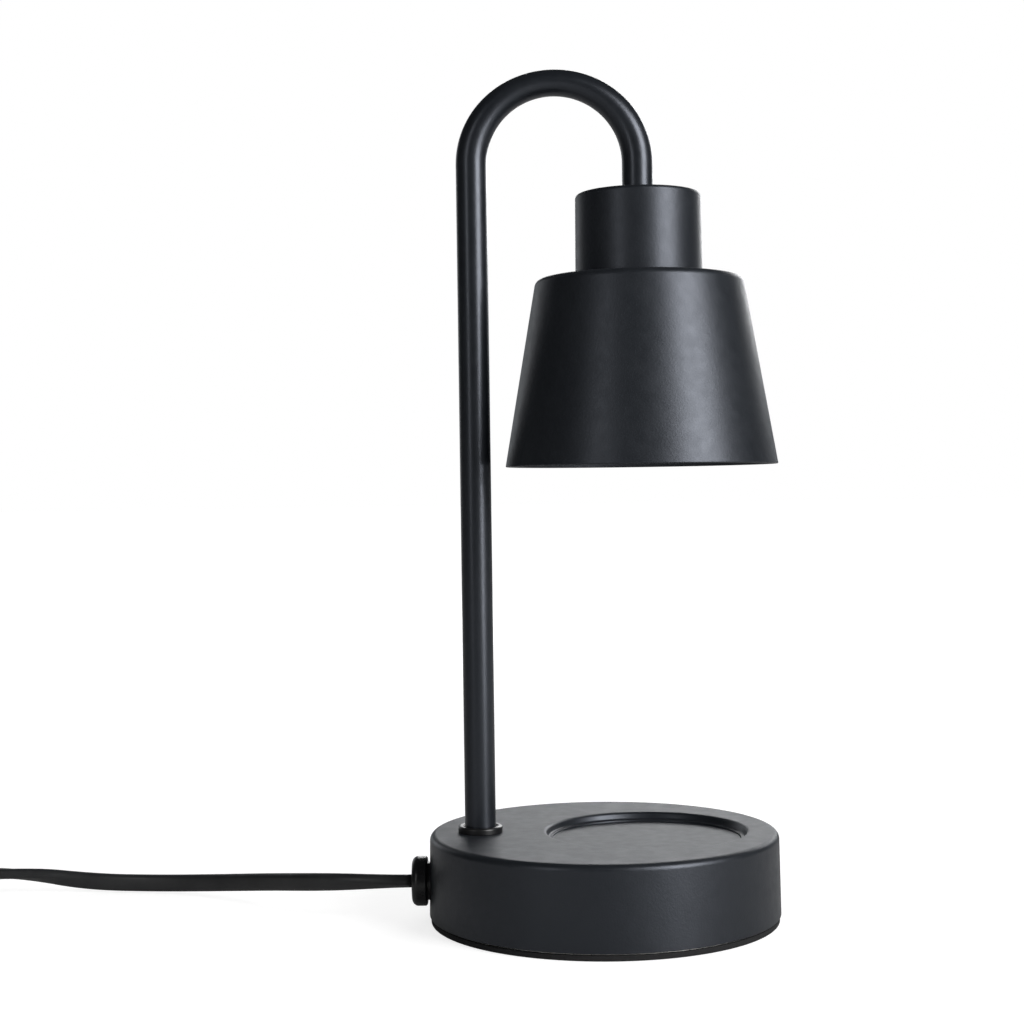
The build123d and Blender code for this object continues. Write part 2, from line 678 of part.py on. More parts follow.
holder_body.part.label = "holder_body"
export_step(holder_body.part, "parts/holder_body.step")

# Two sprung contact strips that follow the path of the pin heads.
with BuildPart() as holder_contacts:
    with BuildSketch(at_height(HEAD_AXIS, FACE_TOP_Z)):
        for turn in (0, 180):
            with BuildLine(mode=Mode.PRIVATE) as strip_path:
                CenterArc((0, 0), CONTACT_R, turn - CONTACT_ARC / 2, CONTACT_ARC)
            SlotArc(strip_path.edges()[0], CONTACT_T)
    extrude(amount=CONTACT_H)
holder_contacts.part.label = "holder_contacts"
export_step(holder_contacts.part, "parts/holder_contacts.step")

# Cap of the lamp holder, with the threaded boss that takes the nipple.
with BuildPart() as holder_cap:
    with BuildSketch(at_height(HEAD_AXIS, CAP_Z)):
        Circle(HOLDER_R)
    extrude(amount=CAP_H)
    fillet(holder_cap.edges().group_by(Axis.Z)[-1], CAP_T)
    with BuildSketch(at_height(HEAD_AXIS, CAP_Z)):
        Circle(CHAMBER_R)
    extrude(amount=CAP_H - CAP_T, mode=Mode.SUBTRACT)
    with BuildSketch(at_height(HEAD_AXIS, CAP_TOP_Z)):
        Circle(BOSS_R)
    extrude(amount=BOSS_H)
    with Locations(at_height(HEAD_AXIS, BOSS_TOP_Z)):
        Hole(NIPPLE_HOLE_D / 2, depth=BOSS_H + CAP_T)
    with Locations(at_height(HEAD_AXIS, CAP_TOP_Z)):
        with PolarLocations(HOLDER_SCREW_R, 2, start_angle=90):
            CounterBoreHole(
                HOLDER_SCREW_D / 2 + FIT, HOLDER_SCREW_HEAD_D / 2 + GAP, CAP_H / 2, depth=CAP_H
            )
holder_cap.part.label = "holder_cap"
export_step(holder_cap.part, "parts/holder_cap.step")

# Screws that hold the cap on the ceramic body.
with BuildPart() as holder_screws:
    with BuildSketch(at_height(HEAD_AXIS, CAP_Z + CAP_H / 2)):
        with PolarLocations(HOLDER_SCREW_R, 2, start_angle=90):
            Circle(HOLDER_SCREW_D / 2)
    extrude(amount=-CAP_H / 2 - HOLDER_SCREW_BITE)
    with BuildSketch(at_height(HEAD_AXIS, CAP_Z + CAP_H / 2)):
        with PolarLocations(HOLDER_SCREW_R, 2, start_angle=90):
            Circle(HOLDER_SCREW_HEAD_D / 2)
    extrude(amount=HOLDER_SCREW_HEAD_T)
    with BuildSketch(at_height(HEAD_AXIS, CAP_Z + CAP_H / 2 + HOLDER_SCREW_HEAD_T)):
        with PolarLocations(HOLDER_SCREW_R, 2, start_angle=90):
            Rectangle(HOLDER_SCREW_HEAD_D, HOLDER_SCREW_D / 4)
    extrude(amount=-HOLDER_SCREW_HEAD_T / 2, mode=Mode.SUBTRACT)
holder_screws.part.label = "holder_screws"
export_step(holder_screws.part, "parts/holder_screws.step")

# Ring on the skirt's thread that pulls the shade up against the holder and the cup.
with BuildPart() as shade_ring:
    with BuildSketch(at_height(HEAD_AXIS, RING_BOTTOM_Z)):
        Circle(RING_R)
        Circle(SKIRT_R + FIT, mode=Mode.SUBTRACT)
        with PolarLocations(RING_R, RING_NOTCHES):
            Circle(RING_NOTCH_D / 2, mode=Mode.SUBTRACT)
    extrude(amount=SHADE_UNDER_Z - RING_BOTTOM_Z)
shade_ring.part.label = "shade_ring"
export_step(shade_ring.part, "parts/shade_ring.step")

# ---------------------------------------------------------------- bulb

# Ceramic base, from an oblong block at the pins to the round neck of the reflector.
with BuildPart() as bulb_base:
    with BuildSketch(at_height(HEAD_AXIS, BULB_TOP_Z)):
        RectangleRounded(BULB_BASE_W, BULB_BASE_D, BULB_BASE_ROUND)
    with BuildSketch(at_height(HEAD_AXIS, BULB_NECK_Z)):
        RectangleRounded(2 * BULB_NECK_R, 2 * BULB_NECK_R, BULB_NECK_ROUND)
    loft()
bulb_base.part.label = "bulb_base"
export_step(bulb_base.part, "parts/bulb_base.step")

# The two stepped pins.
with BuildPart() as bulb_pins:
    with BuildSketch(at_height(HEAD_AXIS, BULB_TOP_Z)):
        with PolarLocations(PIN_PITCH_R, 2):
            Circle(PIN_NECK_D / 2)
    extrude(amount=PIN_NECK_H)
    with BuildSketch(at_height(HEAD_AXIS, BULB_TOP_Z + PIN_NECK_H)):
        with PolarLocations(PIN_PITCH_R, 2):
            Circle(PIN_HEAD_D / 2)
    extrude(amount=PIN_HEAD_H)
    chamfer(bulb_pins.edges().group_by(Axis.Z)[-1], PIN_CHAMFER)
bulb_pins.part.label = "bulb_pins"
export_step(bulb_pins.part, "parts/bulb_pins.step")



def bowl_point(shares):
    """A point of the bowl's wall in its upright section."""
    return (shares[0] * BULB_R, BULB_FACE_Z + shares[1] * (BULB_NECK_Z - BULB_FACE_Z))


# Pressed glass reflector: a bowl with a parallel rim.
with BuildPart() as bulb_reflector:
    with BuildSketch(upright_section(HEAD_AXIS)):
        with BuildLine():
            rim = Polyline(
                (LENS_R - LENS_SEAT, LENS_TOP_Z),
                (LENS_R + LENS_PLAY, LENS_TOP_Z),
                (LENS_R + LENS_PLAY, BULB_FACE_Z),
                (BULB_R, BULB_FACE_Z),
                (BULB_R, BULB_FACE_Z + BULB_RIM_H),
            )
            back = ThreePointArc(rim @ 1, bowl_point(BOWL_BACK_AT), (BULB_NECK_R, BULB_NECK_Z))
            neck = Line(back @ 1, (CAPSULE_R + 2 * GAP, BULB_NECK_Z))
            bowl_start = Line(neck @ 1, (CAPSULE_R + 2 * GAP, BULB_NECK_Z - 2 * REFLECTOR_WALL))
            ThreePointArc(bowl_start @ 1, bowl_point(BOWL_FRONT_AT), rim @ 0)
        make_face()
    revolve(axis=Axis((HEAD_X, 0, 0), (0, 0, 1)))
bulb_reflector.part.label = "bulb_reflector"
export_step(bulb_reflector.part, "parts/bulb_reflector.step")

# Front glass, held just inside the reflector's rim.
with BuildPart() as bulb_lens:
    with BuildSketch(at_height(HEAD_AXIS, BULB_FACE_Z + GAP)):
        Circle(LENS_R)
    extrude(amount=LENS_T)
    fillet(bulb_lens.edges().group_by(Axis.Z)[0], LENS_T / 3)
bulb_lens.part.label = "bulb_lens"
export_step(bulb_lens.part, "parts/bulb_lens.step")

# Halogen capsule on its stem.
with BuildPart() as bulb_capsule:
    with BuildSketch(at_height(HEAD_AXIS, BULB_NECK_Z)):
        Rectangle(STEM_W, STEM_T)
    extrude(amount=-STEM_H)
    with BuildSketch(at_height(HEAD_AXIS, BULB_NECK_Z - STEM_H + STEM_BITE)):
        Circle(CAPSULE_R)
    extrude(amount=-CAPSULE_H)
    fillet(bulb_capsule.edges().group_by(Axis.Z)[0], CAPSULE_TIP_R)
bulb_capsule.part.label = "bulb_capsule"
export_step(bulb_capsule.part, "parts/bulb_capsule.step")

# ---------------------------------------------------------------- mains cord


def cord_tube(name, points):
    """Plain round tube along a cord's route: straight runs joined by tangent arcs."""
    radii = corner_radii(points)
    with BuildPart() as tube:
        with BuildLine() as path:
            FilletPolyline(*points, radius=radii)
        with BuildSketch(Plane(path.line @ 0, z_dir=path.line % 0)):
            Circle(CORD_W / 2)
        sweep(path=path.line)
    length = sum(edge.length for edge in path.edges())
    swept = pi * (CORD_W / 2) ** 2 * length
    print(name, "length", round(length, 1), "radii", [round(radius, 1) for radius in radii])
    print(name, "volume over section times length", round(tube.part.volume / swept, 4))
    return tube


LAMP_CORD_ROUTE = [
    CORD_EXIT,
    (BUSHING_X - 17.4, 0.0, CORD_Z),
    (BUSHING_X - 35.4, 8.5, 11.9),
    (BUSHING_X - 52.4, 24.0, 8.9),
    (BUSHING_X - 71.4, 39.0, 5.7),
    (BUSHING_X - 96.4, 50.0, 3.5),
    (BUSHING_X - 122.4, 53.0, 3.7),
    (SWITCH_ENTRY_X + 16.5, SWITCH_Y, SWITCH_SPLIT_Z),
    (SWITCH_ENTRY_X, SWITCH_Y, SWITCH_SPLIT_Z),
]
lamp_cord = cord_tube("lamp_cord", LAMP_CORD_ROUTE)
lamp_cord.part.label = "lamp_cord"
export_step(lamp_cord.part, "parts/lamp_cord.step")

SWITCH_CORD_ROUTE = [
    (SWITCH_EXIT_X, SWITCH_Y, SWITCH_SPLIT_Z),
    (SWITCH_EXIT_X - 17.5, SWITCH_Y, SWITCH_SPLIT_Z),
    (COIL_X - 28.0, 40.5, 5.5),
    (COIL_X - 39.0, 23.0, 4.3),
    (COIL_X - 40.8, 1.2, 4.2),
    (COIL_X - COIL_TURN_R, COIL_Y, COIL_LOW_Z),
]
switch_cord = cord_tube("switch_cord", SWITCH_CORD_ROUTE)
switch_cord.part.label = "switch_cord"
export_step(switch_cord.part, "parts/switch_cord.step")

# Outer shape of the wound coil.
with BuildPart() as cord_coil:
    with BuildSketch(Plane.XY.offset(COIL_Z).shift_origin((COIL_X, COIL_Y, COIL_Z))):
        Circle(COIL_OUTER_R)
        Circle(COIL_INNER_R, mode=Mode.SUBTRACT)
    extrude(amount=COIL_H)
    fillet(cord_coil.edges().filter_by(GeomType.CIRCLE), CORD_T / 2)
cord_coil.part.label = "cord_coil"
export_step(cord_coil.part, "parts/cord_coil.step")

# Two bands around the coil's bundle; the coil rests on them.
with BuildPart() as coil_ties:
    for angle in TIE_ANGLES:
        outward = Vector(cos(radians(angle)), sin(radians(angle)), 0)
        bundle = Vector(COIL_X, COIL_Y, COIL_Z + COIL_H / 2) + outward * COIL_MIDDLE_R
        with BuildSketch(Plane(bundle, x_dir=outward, z_dir=outward.cross(Vector(0, 0, 1)))):
            RectangleRounded(TIE_HOLE_W + 2 * TIE_T, TIE_HOLE_H + 2 * TIE_T, CORD_T / 2)
            RectangleRounded(TIE_HOLE_W, TIE_HOLE_H, CORD_T / 2 - TIE_T, mode=Mode.SUBTRACT)
        extrude(amount=TIE_W / 2, both=True)
coil_ties.part.label = "coil_ties"
export_step(coil_ties.part, "parts/coil_ties.step")

PLUG_CORD_ROUTE = [
    (COIL_X, COIL_Y - COIL_TURN_R, COIL_HIGH_Z),
    (COIL_X + 10.0, -60.0, 10.0),
    (PLUG_X - 11.0, PLUG_Y, PLUG_Z),
    (PLUG_X, PLUG_Y, PLUG_Z),
]
plug_cord = cord_tube("plug_cord", PLUG_CORD_ROUTE)
plug_cord.part.label = "plug_cord"
export_step(plug_cord.part, "parts/plug_cord.step")

# ---------------------------------------------------------------- switch on the cord


# Plan of the switch: bowed sides that narrow to its two ends.
with BuildSketch() as switch_plan:
    half_l, half_w, half_end = SWITCH_L / 2, SWITCH_W / 2, SWITCH_END_W / 2
    with BuildLine():
        far_side = ThreePointArc((-half_l, half_end), (0, half_w), (half_l, half_end))
        near_side = ThreePointArc((half_l, -half_end), (0, -half_w), (-half_l, -half_end))
        Line(far_side @ 1, near_side @ 0)
        Line(near_side @ 1, far_side @ 0)
    make_face()
    fillet(switch_plan.vertices(), SWITCH_CORNER)


def switch_plane(height):
    """A horizontal plane centred on the switch."""
    return Plane.XY.offset(height).shift_origin((SWITCH_X, SWITCH_Y, height))


def rocker_plane(side):
    """The upright plane at a distance to the far side of the switch, centred on the rocker's pin.

    Extrusions from it run towards the near side.
    """
    y = SWITCH_Y + side
    return Plane.XZ.offset(-y).shift_origin((SWITCH_X, y, ROCKER_Z))


# Lower shell of the switch, with two screw bosses.
with BuildPart() as switch_base:
    with BuildSketch(switch_plane(0)):
        add(switch_plan.sketch)
    extrude(amount=SWITCH_SPLIT_Z)
    fillet(switch_base.edges().group_by(Axis.Z)[0], SWITCH_ROUND / 2)
    with BuildSketch(switch_plane(SWITCH_WALL)):
        add(switch_plan.sketch)
        offset(amount=-SWITCH_WALL, mode=Mode.REPLACE)
        with Locations((-SWITCH_SCREW_X, 0), (SWITCH_SCREW_X, 0)):
            Circle(SWITCH_SCREW_HEAD_D / 2 + SWITCH_BOSS_WALL, mode=Mode.SUBTRACT)
    extrude(amount=SWITCH_SPLIT_Z, mode=Mode.SUBTRACT)
    with Locations(Plane(switch_plane(0).origin, z_dir=(0, 0, -1))):
        with Locations((-SWITCH_SCREW_X, 0), (SWITCH_SCREW_X, 0)):
            CounterBoreHole(
                SWITCH_SCREW_D / 2 + FIT,
                SWITCH_SCREW_HEAD_D / 2 + GAP,
                SWITCH_SPLIT_Z / 2,
                depth=SWITCH_SPLIT_Z,
            )
switch_base.part.label = "switch_base"
export_step(switch_base.part, "parts/switch_base.step")

# Upper shell, with the rocker's window and the ears that carry its pin.
with BuildPart() as switch_cover:
    with BuildSketch(switch_plane(SWITCH_SPLIT_Z)):
        add(switch_plan.sketch)
    extrude(amount=SWITCH_H - SWITCH_SPLIT_Z)
    fillet(switch_cover.edges().group_by(Axis.Z)[-1], SWITCH_ROUND)
    with BuildSketch(switch_plane(SWITCH_SPLIT_Z)):
        add(switch_plan.sketch)
        offset(amount=-SWITCH_WALL, mode=Mode.REPLACE)
        with Locations((-SWITCH_SCREW_X, 0), (SWITCH_SCREW_X, 0)):
            Circle(SWITCH_SCREW_D / 2 + SWITCH_BOSS_WALL, mode=Mode.SUBTRACT)
    extrude(amount=SWITCH_H - SWITCH_SPLIT_Z - SWITCH_WALL, mode=Mode.SUBTRACT)
    with BuildSketch(switch_plane(ROCKER_Z - ROCKER_PIN_D)):
        for side in (-1, 1):
            with Locations((0, side * (ROCKER_W / 2 + GAP + EAR_T / 2))):
                Rectangle(EAR_W, EAR_T)
    extrude(amount=SWITCH_H - SWITCH_WALL - ROCKER_Z + ROCKER_PIN_D + GAP)
    with BuildSketch(switch_plane(SWITCH_SPLIT_Z)):
        Rectangle(2 * (ROCKER_R + GAP), ROCKER_W + 2 * GAP)
    extrude(amount=SWITCH_H, mode=Mode.SUBTRACT)
    with BuildSketch(switch_plane(SWITCH_SPLIT_Z)):
        with Locations((-SWITCH_SCREW_X, 0), (SWITCH_SCREW_X, 0)):
            Circle(SWITCH_SCREW_D / 2 + FIT)
    extrude(amount=SWITCH_H - SWITCH_SPLIT_Z - 2 * SWITCH_WALL, mode=Mode.SUBTRACT)
    with BuildSketch(rocker_plane(ROCKER_W / 2 + GAP + EAR_T)):
        Circle(ROCKER_PIN_D / 2 + FIT)
    extrude(amount=ROCKER_W + 2 * GAP + 2 * EAR_T, mode=Mode.SUBTRACT)
switch_cover.part.label = "switch_cover"
export_step(switch_cover.part, "parts/switch_cover.step")

# Rocker: a drum-ended key with a shallow valley across its top, resting in its off position.
with BuildPart() as switch_rocker:
    with BuildSketch(rocker_plane(ROCKER_W / 2)):
        with BuildLine():
            Polyline(
                (-ROCKER_R, ROCKER_RISE + ROCKER_R * tan(radians(ROCKER_TILT))),
                (0, ROCKER_RISE),
                (ROCKER_R, ROCKER_RISE + ROCKER_R * tan(radians(ROCKER_TILT))),
                (ROCKER_R, 0),
                (ROCKER_PIN_D, -ROCKER_KEEL),
                (-ROCKER_PIN_D, -ROCKER_KEEL),
                (-ROCKER_R, 0),
                close=True,
            )
        make_face()
        Circle(ROCKER_R, mode=Mode.INTERSECT)
        Circle(ROCKER_PIN_D / 2 + FIT, mode=Mode.SUBTRACT)
    extrude(amount=ROCKER_W)
rocker_axis = Axis((SWITCH_X, SWITCH_Y, ROCKER_Z), (0, 1, 0))
switch_rocker.part = switch_rocker.part.rotate(rocker_axis, ROCKER_TILT)
switch_rocker.part.label = "switch_rocker"
export_step(switch_rocker.part, "parts/switch_rocker.step")

# Pin that the rocker tilts on.
with BuildPart() as rocker_pin:
    with BuildSketch(rocker_plane(ROCKER_W / 2 + GAP + EAR_T)):
        Circle(ROCKER_PIN_D / 2)
    extrude(amount=ROCKER_W + 2 * GAP + 2 * EAR_T)
rocker_pin.part.label = "rocker_pin"
export_step(rocker_pin.part, "parts/rocker_pin.step")

# Two contact strips on the floor of the switch.
with BuildPart() as switch_contacts:
    with BuildSketch(switch_plane(SWITCH_WALL)):
        with Locations((0, -STRIP_Y), (0, STRIP_Y)):
            Rectangle(STRIP_L, STRIP_W)
    extrude(amount=STRIP_T)
    with BuildSketch(switch_plane(SWITCH_WALL)):
        with Locations((-POST_X, -STRIP_Y), (POST_X, STRIP_Y)):
            Rectangle(STRIP_W, STRIP_W)
    extrude(amount=POST_H)
switch_contacts.part.label = "switch_contacts"
export_step(switch_contacts.part, "parts/switch_contacts.step")

# Two screws, driven in from below.
with BuildPart() as switch_screws:
    with BuildSketch(switch_plane(SWITCH_SPLIT_Z / 2)):
        with Locations((-SWITCH_SCREW_X, 0), (SWITCH_SCREW_X, 0)):
            Circle(SWITCH_SCREW_D / 2)
    extrude(amount=SWITCH_SPLIT_Z / 2 + SWITCH_SCREW_BITE)
    with BuildSketch(switch_plane(SWITCH_SPLIT_Z / 2)):
        with Locations((-SWITCH_SCREW_X, 0), (SWITCH_SCREW_X, 0)):
            Circle(SWITCH_SCREW_HEAD_D / 2)
    extrude(amount=-SWITCH_SCREW_HEAD_T)
switch_screws.part.label = "switch_screws"
export_step(switch_screws.part, "parts/switch_screws.step")

# ---------------------------------------------------------------- plug


def plug_section(x):
    """The upright plane across the plug at a distance from its cord end."""
    return across_x(PLUG_X + x, PLUG_Y, PLUG_Z)


PLUG_L = PLUG_NECK_L + PLUG_BODY_L

# Moulded plug: a round neck, a flared grip and a straight stretch behind the face.
with BuildPart() as plug_body:
    with BuildSketch(plug_section(0)):
        Circle(PLUG_NECK_D / 2)
    with BuildSketch(plug_section(PLUG_NECK_L)):
        RectangleRounded(PLUG_THROAT_W, PLUG_NECK_D, PLUG_THROAT_ROUND)
    loft()
    with BuildSketch(plug_section(PLUG_NECK_L)):
        RectangleRounded(PLUG_THROAT_W, PLUG_NECK_D, PLUG_THROAT_ROUND)
    with BuildSketch(plug_section(PLUG_NECK_L + PLUG_GRIP_AT)):
        RectangleRounded(PLUG_GRIP_W, PLUG_GRIP_H, PLUG_ROUND)
    with BuildSketch(plug_section(PLUG_L - PLUG_FACE_T)):
        RectangleRounded(PLUG_W, PLUG_H, PLUG_ROUND)
    loft()
    with BuildSketch(plug_section(PLUG_L - PLUG_FACE_T)):
        RectangleRounded(PLUG_W, PLUG_H, PLUG_ROUND)
    extrude(amount=PLUG_FACE_T)
    fillet(plug_body.edges().group_by(Axis.X)[-1], PLUG_FACE_ROUND)
    with BuildSketch(plug_section(PLUG_L)):
        with Locations((-BLADE_PITCH / 2, 0), (BLADE_PITCH / 2, 0)):
            Rectangle(BLADE_T + 2 * FIT, BLADE_H + 2 * FIT)
    extrude(amount=-BLADE_ROOT, mode=Mode.SUBTRACT)
plug_body.part.label = "plug_body"
export_step(plug_body.part, "parts/plug_body.step")

# Two flat blades, each with a hole near its tip.
with BuildPart() as plug_blades:
    with BuildSketch(plug_section(PLUG_L - BLADE_ROOT)):
        with Locations((-BLADE_PITCH / 2, 0), (BLADE_PITCH / 2, 0)):
            Rectangle(BLADE_T, BLADE_H)
    extrude(amount=BLADE_ROOT + BLADE_L)
    chamfer(plug_blades.edges().group_by(Axis.X)[-1], BLADE_T / 3)
    hole_x = PLUG_X + PLUG_L + BLADE_L - BLADE_HOLE_FROM_TIP
    with BuildSketch(Plane.XZ.offset(-PLUG_Y - PLUG_W / 2)):
        with Locations((hole_x, PLUG_Z)):
            Circle(BLADE_HOLE_D / 2)
    extrude(amount=PLUG_W, mode=Mode.SUBTRACT)
plug_blades.part.label = "plug_blades"
export_step(plug_blades.part, "parts/plug_blades.step")
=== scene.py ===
"""Looks of the candle warmer lamp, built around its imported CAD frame.
"""

import json
from math import copysign, cos, pi, radians, sin, tan

import bmesh
import bpy
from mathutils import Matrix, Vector


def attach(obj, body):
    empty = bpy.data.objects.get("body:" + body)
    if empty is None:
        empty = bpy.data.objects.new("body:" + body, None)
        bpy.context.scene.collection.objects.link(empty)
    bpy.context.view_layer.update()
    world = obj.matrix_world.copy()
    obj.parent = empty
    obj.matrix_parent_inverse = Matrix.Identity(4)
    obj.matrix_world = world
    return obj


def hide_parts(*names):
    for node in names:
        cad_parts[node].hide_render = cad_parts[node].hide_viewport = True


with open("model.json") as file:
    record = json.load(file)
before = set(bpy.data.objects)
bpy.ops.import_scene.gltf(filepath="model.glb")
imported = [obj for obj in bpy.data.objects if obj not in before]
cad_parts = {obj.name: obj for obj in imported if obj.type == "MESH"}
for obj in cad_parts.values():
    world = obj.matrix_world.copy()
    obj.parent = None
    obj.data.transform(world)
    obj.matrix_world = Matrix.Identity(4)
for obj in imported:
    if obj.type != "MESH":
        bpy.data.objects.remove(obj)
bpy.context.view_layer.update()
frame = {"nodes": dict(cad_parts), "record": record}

MM = 0.001
NODES = frame["nodes"]
SLOT_OF = {part["node"]: part["material_slot"] for part in frame["record"]["subparts"]}
scene = bpy.context.scene
scene.view_settings.view_transform = "Standard"

# ---------------------------------------------------------------- sizes shared with the solids

POLE_X, HEAD_X = -42.4, 14.6
FOOT_R, FOOT_T = 59.7, 1.9
SHELL_R, SHELL_Z, BASE_H = 60.2, 2.4, 30.2
SHELL_TAPER, SHELL_WALL, SHELL_ROUND = 0.9, 1.0, 2.2
RECESS_R, RECESS_DEPTH, RECESS_DRAFT = 34.6, 2.4, 22
LEDGE_W, LEDGE_DEPTH, RIM_ROUND = 1.3, 0.6, 1.3
TUBE_R, TUBE_WALL, BEND_R, HOOK_Z = 5.3, 1.4, 28.5, 259.3
BEND_FLAT, BEND_BULGE = 1.65, 0.2
COLLAR_R, COLLAR_H = 7.65, 2.3
CUP_TOP_Z, CUP_R, CUP_TAPER, CUP_WALL, CUP_ROUND = 248.5, 21.75, 0.45, 0.9, 1.4
SHADE_TOP_Z, SHADE_RIM_Z, SHADE_RIM_R, SHADE_TOP_R = 219.5, 155.5, 46.65, 35.5
SHADE_WALL, SHADE_ROUND, SHADE_HOLE_R = 0.8, 2.6, 14.55
CORD_W, CORD_T = 6.2, 3.8
COIL_X, COIL_Y, COIL_LOW_Z, COIL_HIGH_Z = -297.0, -20.0, 4.1, 10.8
FACE_Z, NECK_Z, BULB_R, BULB_NECK_R = 166.5, 197.3, 25.0, 12.6

# ---------------------------------------------------------------- sizes of the skins alone

SKIN_GAP = 0.02  # between a skin and the one that it stands on or goes round
HOLD = 0.04  # from an arc's end to the point that keeps the flat beyond it flat
LARGE_RING, CUP_RING, SMALL_RING = 256, 192, 96  # points around a skin
RIM_FLAT, EDGE_FLAT = 3, 1  # round flats beside the recess and the shell's edge
PAD_ROUND, SHELL_EDGE_ROUND, CUP_EDGE_ROUND, SHADE_EDGE_ROUND = 0.45, 0.28, 0.2, 0.34
STEP_FOOT_ROUND, LEDGE_ROUND, WALL_FOOT_ROUND, UNDERSIDE_ROUND = 0.2, 0.25, 0.75, 0.5
COLLAR_FOOT_ROUND, COLLAR_TOP_ROUND, COLLAR_LIP, COLLAR_LIP_ROUND = 0.25, 0.8, 0.9, 0.35
LIP_SEAT_ROUND, LIP_INNER_ROUND, LIP_OUTER_ROUND = 0.05, 0.35, 0.6

# ---------------------------------------------------------------- camera

CAMERA_PLACE = (-30.05, -630.4, 146.84)
CAMERA_DOWN, CAMERA_ROLL = 0.609, -0.808  # degrees below level, and about the line of sight
CAMERA_LENS, CAMERA_SENSOR = 64.5, 36
CAMERA_NEAR, CAMERA_FAR = 0.02, 60

camera_data = bpy.data.cameras.new("camera")
camera = bpy.data.objects.new("camera", camera_data)
scene.collection.objects.link(camera)
scene.camera = camera
camera.location = Vector(CAMERA_PLACE) * MM
camera.rotation_mode = "ZYX"  # rolls before it tilts
camera.rotation_euler = (radians(90 - CAMERA_DOWN), 0, radians(CAMERA_ROLL))
camera_data.lens, camera_data.sensor_width = CAMERA_LENS, CAMERA_SENSOR
camera_data.clip_start, camera_data.clip_end = CAMERA_NEAR, CAMERA_FAR

# ---------------------------------------------------------------- shader nodes

NOISE_LOW, NOISE_HIGH = 0.3, 0.7  # nearly all of a noise texture lies between these


def add_node(owner, kind, inputs, output, **settings):
    """Adds a node to a material or the world, links its inputs to sockets or sets them to values,
    and returns one of its outputs."""
    tree = owner.node_tree
    made = tree.nodes.new("ShaderNode" + kind)
    for setting, value in settings.items():
        setattr(made, setting, value)
    for socket, value in inputs.items():
        if isinstance(value, bpy.types.NodeSocket):
            tree.links.new(value, made.inputs[socket])
        else:
            made.inputs[socket].default_value = value
    return made.outputs[output]


def coordinate(owner, kind, axis):
    """One axis of a kind of texture coordinate."""
    place = add_node(owner, "TexCoord", {}, kind)
    return add_node(owner, "SeparateXYZ", {"Vector": place}, axis)


def noise(owner, size, detail, stretch=(1, 1, 1)):
    """Noise whose features are about size millimetres across, longer along a small stretch."""
    place = add_node(owner, "TexCoord", {}, "Object")
    mapped = add_node(owner, "Mapping", {"Vector": place, "Scale": stretch}, "Vector")
    inputs = {"Vector": mapped, "Scale": 1 / (size * MM), "Detail": detail}
    return add_node(owner, "TexNoise", inputs, "Fac")


def spread(owner, value, low, high, start=NOISE_LOW, end=NOISE_HIGH, curve="LINEAR"):
    """A value stretched from start..end to low..high."""
    inputs = {"Value": value, "From Min": start, "From Max": end, "To Min": low, "To Max": high}
    return add_node(owner, "MapRange", inputs, "Result", interpolation_type=curve)


def combine(owner, operation, first, second):
    """Two values added or multiplied."""
    return add_node(owner, "Math", {0: first, 1: second}, "Value", operation=operation)


def shades(made, value, dark, light):
    """A colour between two shades, set by a noise value."""
    ramp = made.node_tree.nodes.new("ShaderNodeValToRGB")
    low, high = ramp.color_ramp.elements
    low.position, high.position = NOISE_LOW, NOISE_HIGH
    low.color, high.color = (*dark, 1), (*light, 1)
    made.node_tree.links.new(value, ramp.inputs["Fac"])
    return ramp.outputs["Color"]


def bumps(made, layers):
    """The normal of bump layers, each a (noise pattern, depth in millimetres), one on another."""
    below = None
    for pattern, depth in layers:
        inputs = {"Height": noise(made, *pattern), "Distance": depth * MM}
        if below:
            inputs["Normal"] = below
        below = add_node(made, "Bump", inputs, "Normal")
    return below


def feed(made, socket, value):
    """Links a value to a socket of the material's shader."""
    shader = made.node_tree.nodes["Principled BSDF"]
    made.node_tree.links.new(value, shader.inputs[socket])


def material(name, base, roughness, metallic=0.0, tones=None, gloss=None, grain=(), **sockets):
    """A Principled material. tones is (pattern, dark shade, light shade), gloss is (pattern, low
    roughness, high roughness) and grain is layers for bumps, where a pattern is (size, detail) or
    (size, detail, stretch) for noise. Further sockets are given by name with _ for a space."""
    made = bpy.data.materials.new(name)
    made.use_nodes = True
    shader = made.node_tree.nodes["Principled BSDF"]
    shader.inputs["Base Color"].default_value = (*base, 1)
    shader.inputs["Roughness"].default_value = roughness
    shader.inputs["Metallic"].default_value = metallic
    for socket, value in sockets.items():
        shader.inputs[socket.replace("_", " ")].default_value = value
    if tones:
        pattern, dark, light = tones
        feed(made, "Base Color", shades(made, noise(made, *pattern), dark, light))
    if gloss:
        pattern, low, high = gloss
        feed(made, "Roughness", spread(made, noise(made, *pattern), low, high))
    if grain:
        feed(made, "Normal", bumps(made, grain))
    return made


# ---------------------------------------------------------------- materials

COAT_DRIFT = 0.03  # in roughness
TOP_START, TOP_END = 0.70, 0.98  # a normal's Z where the coat starts to be duller and is fully so
MOULDING_BLUE = 1.08  # its blue as a multiple of its red and green


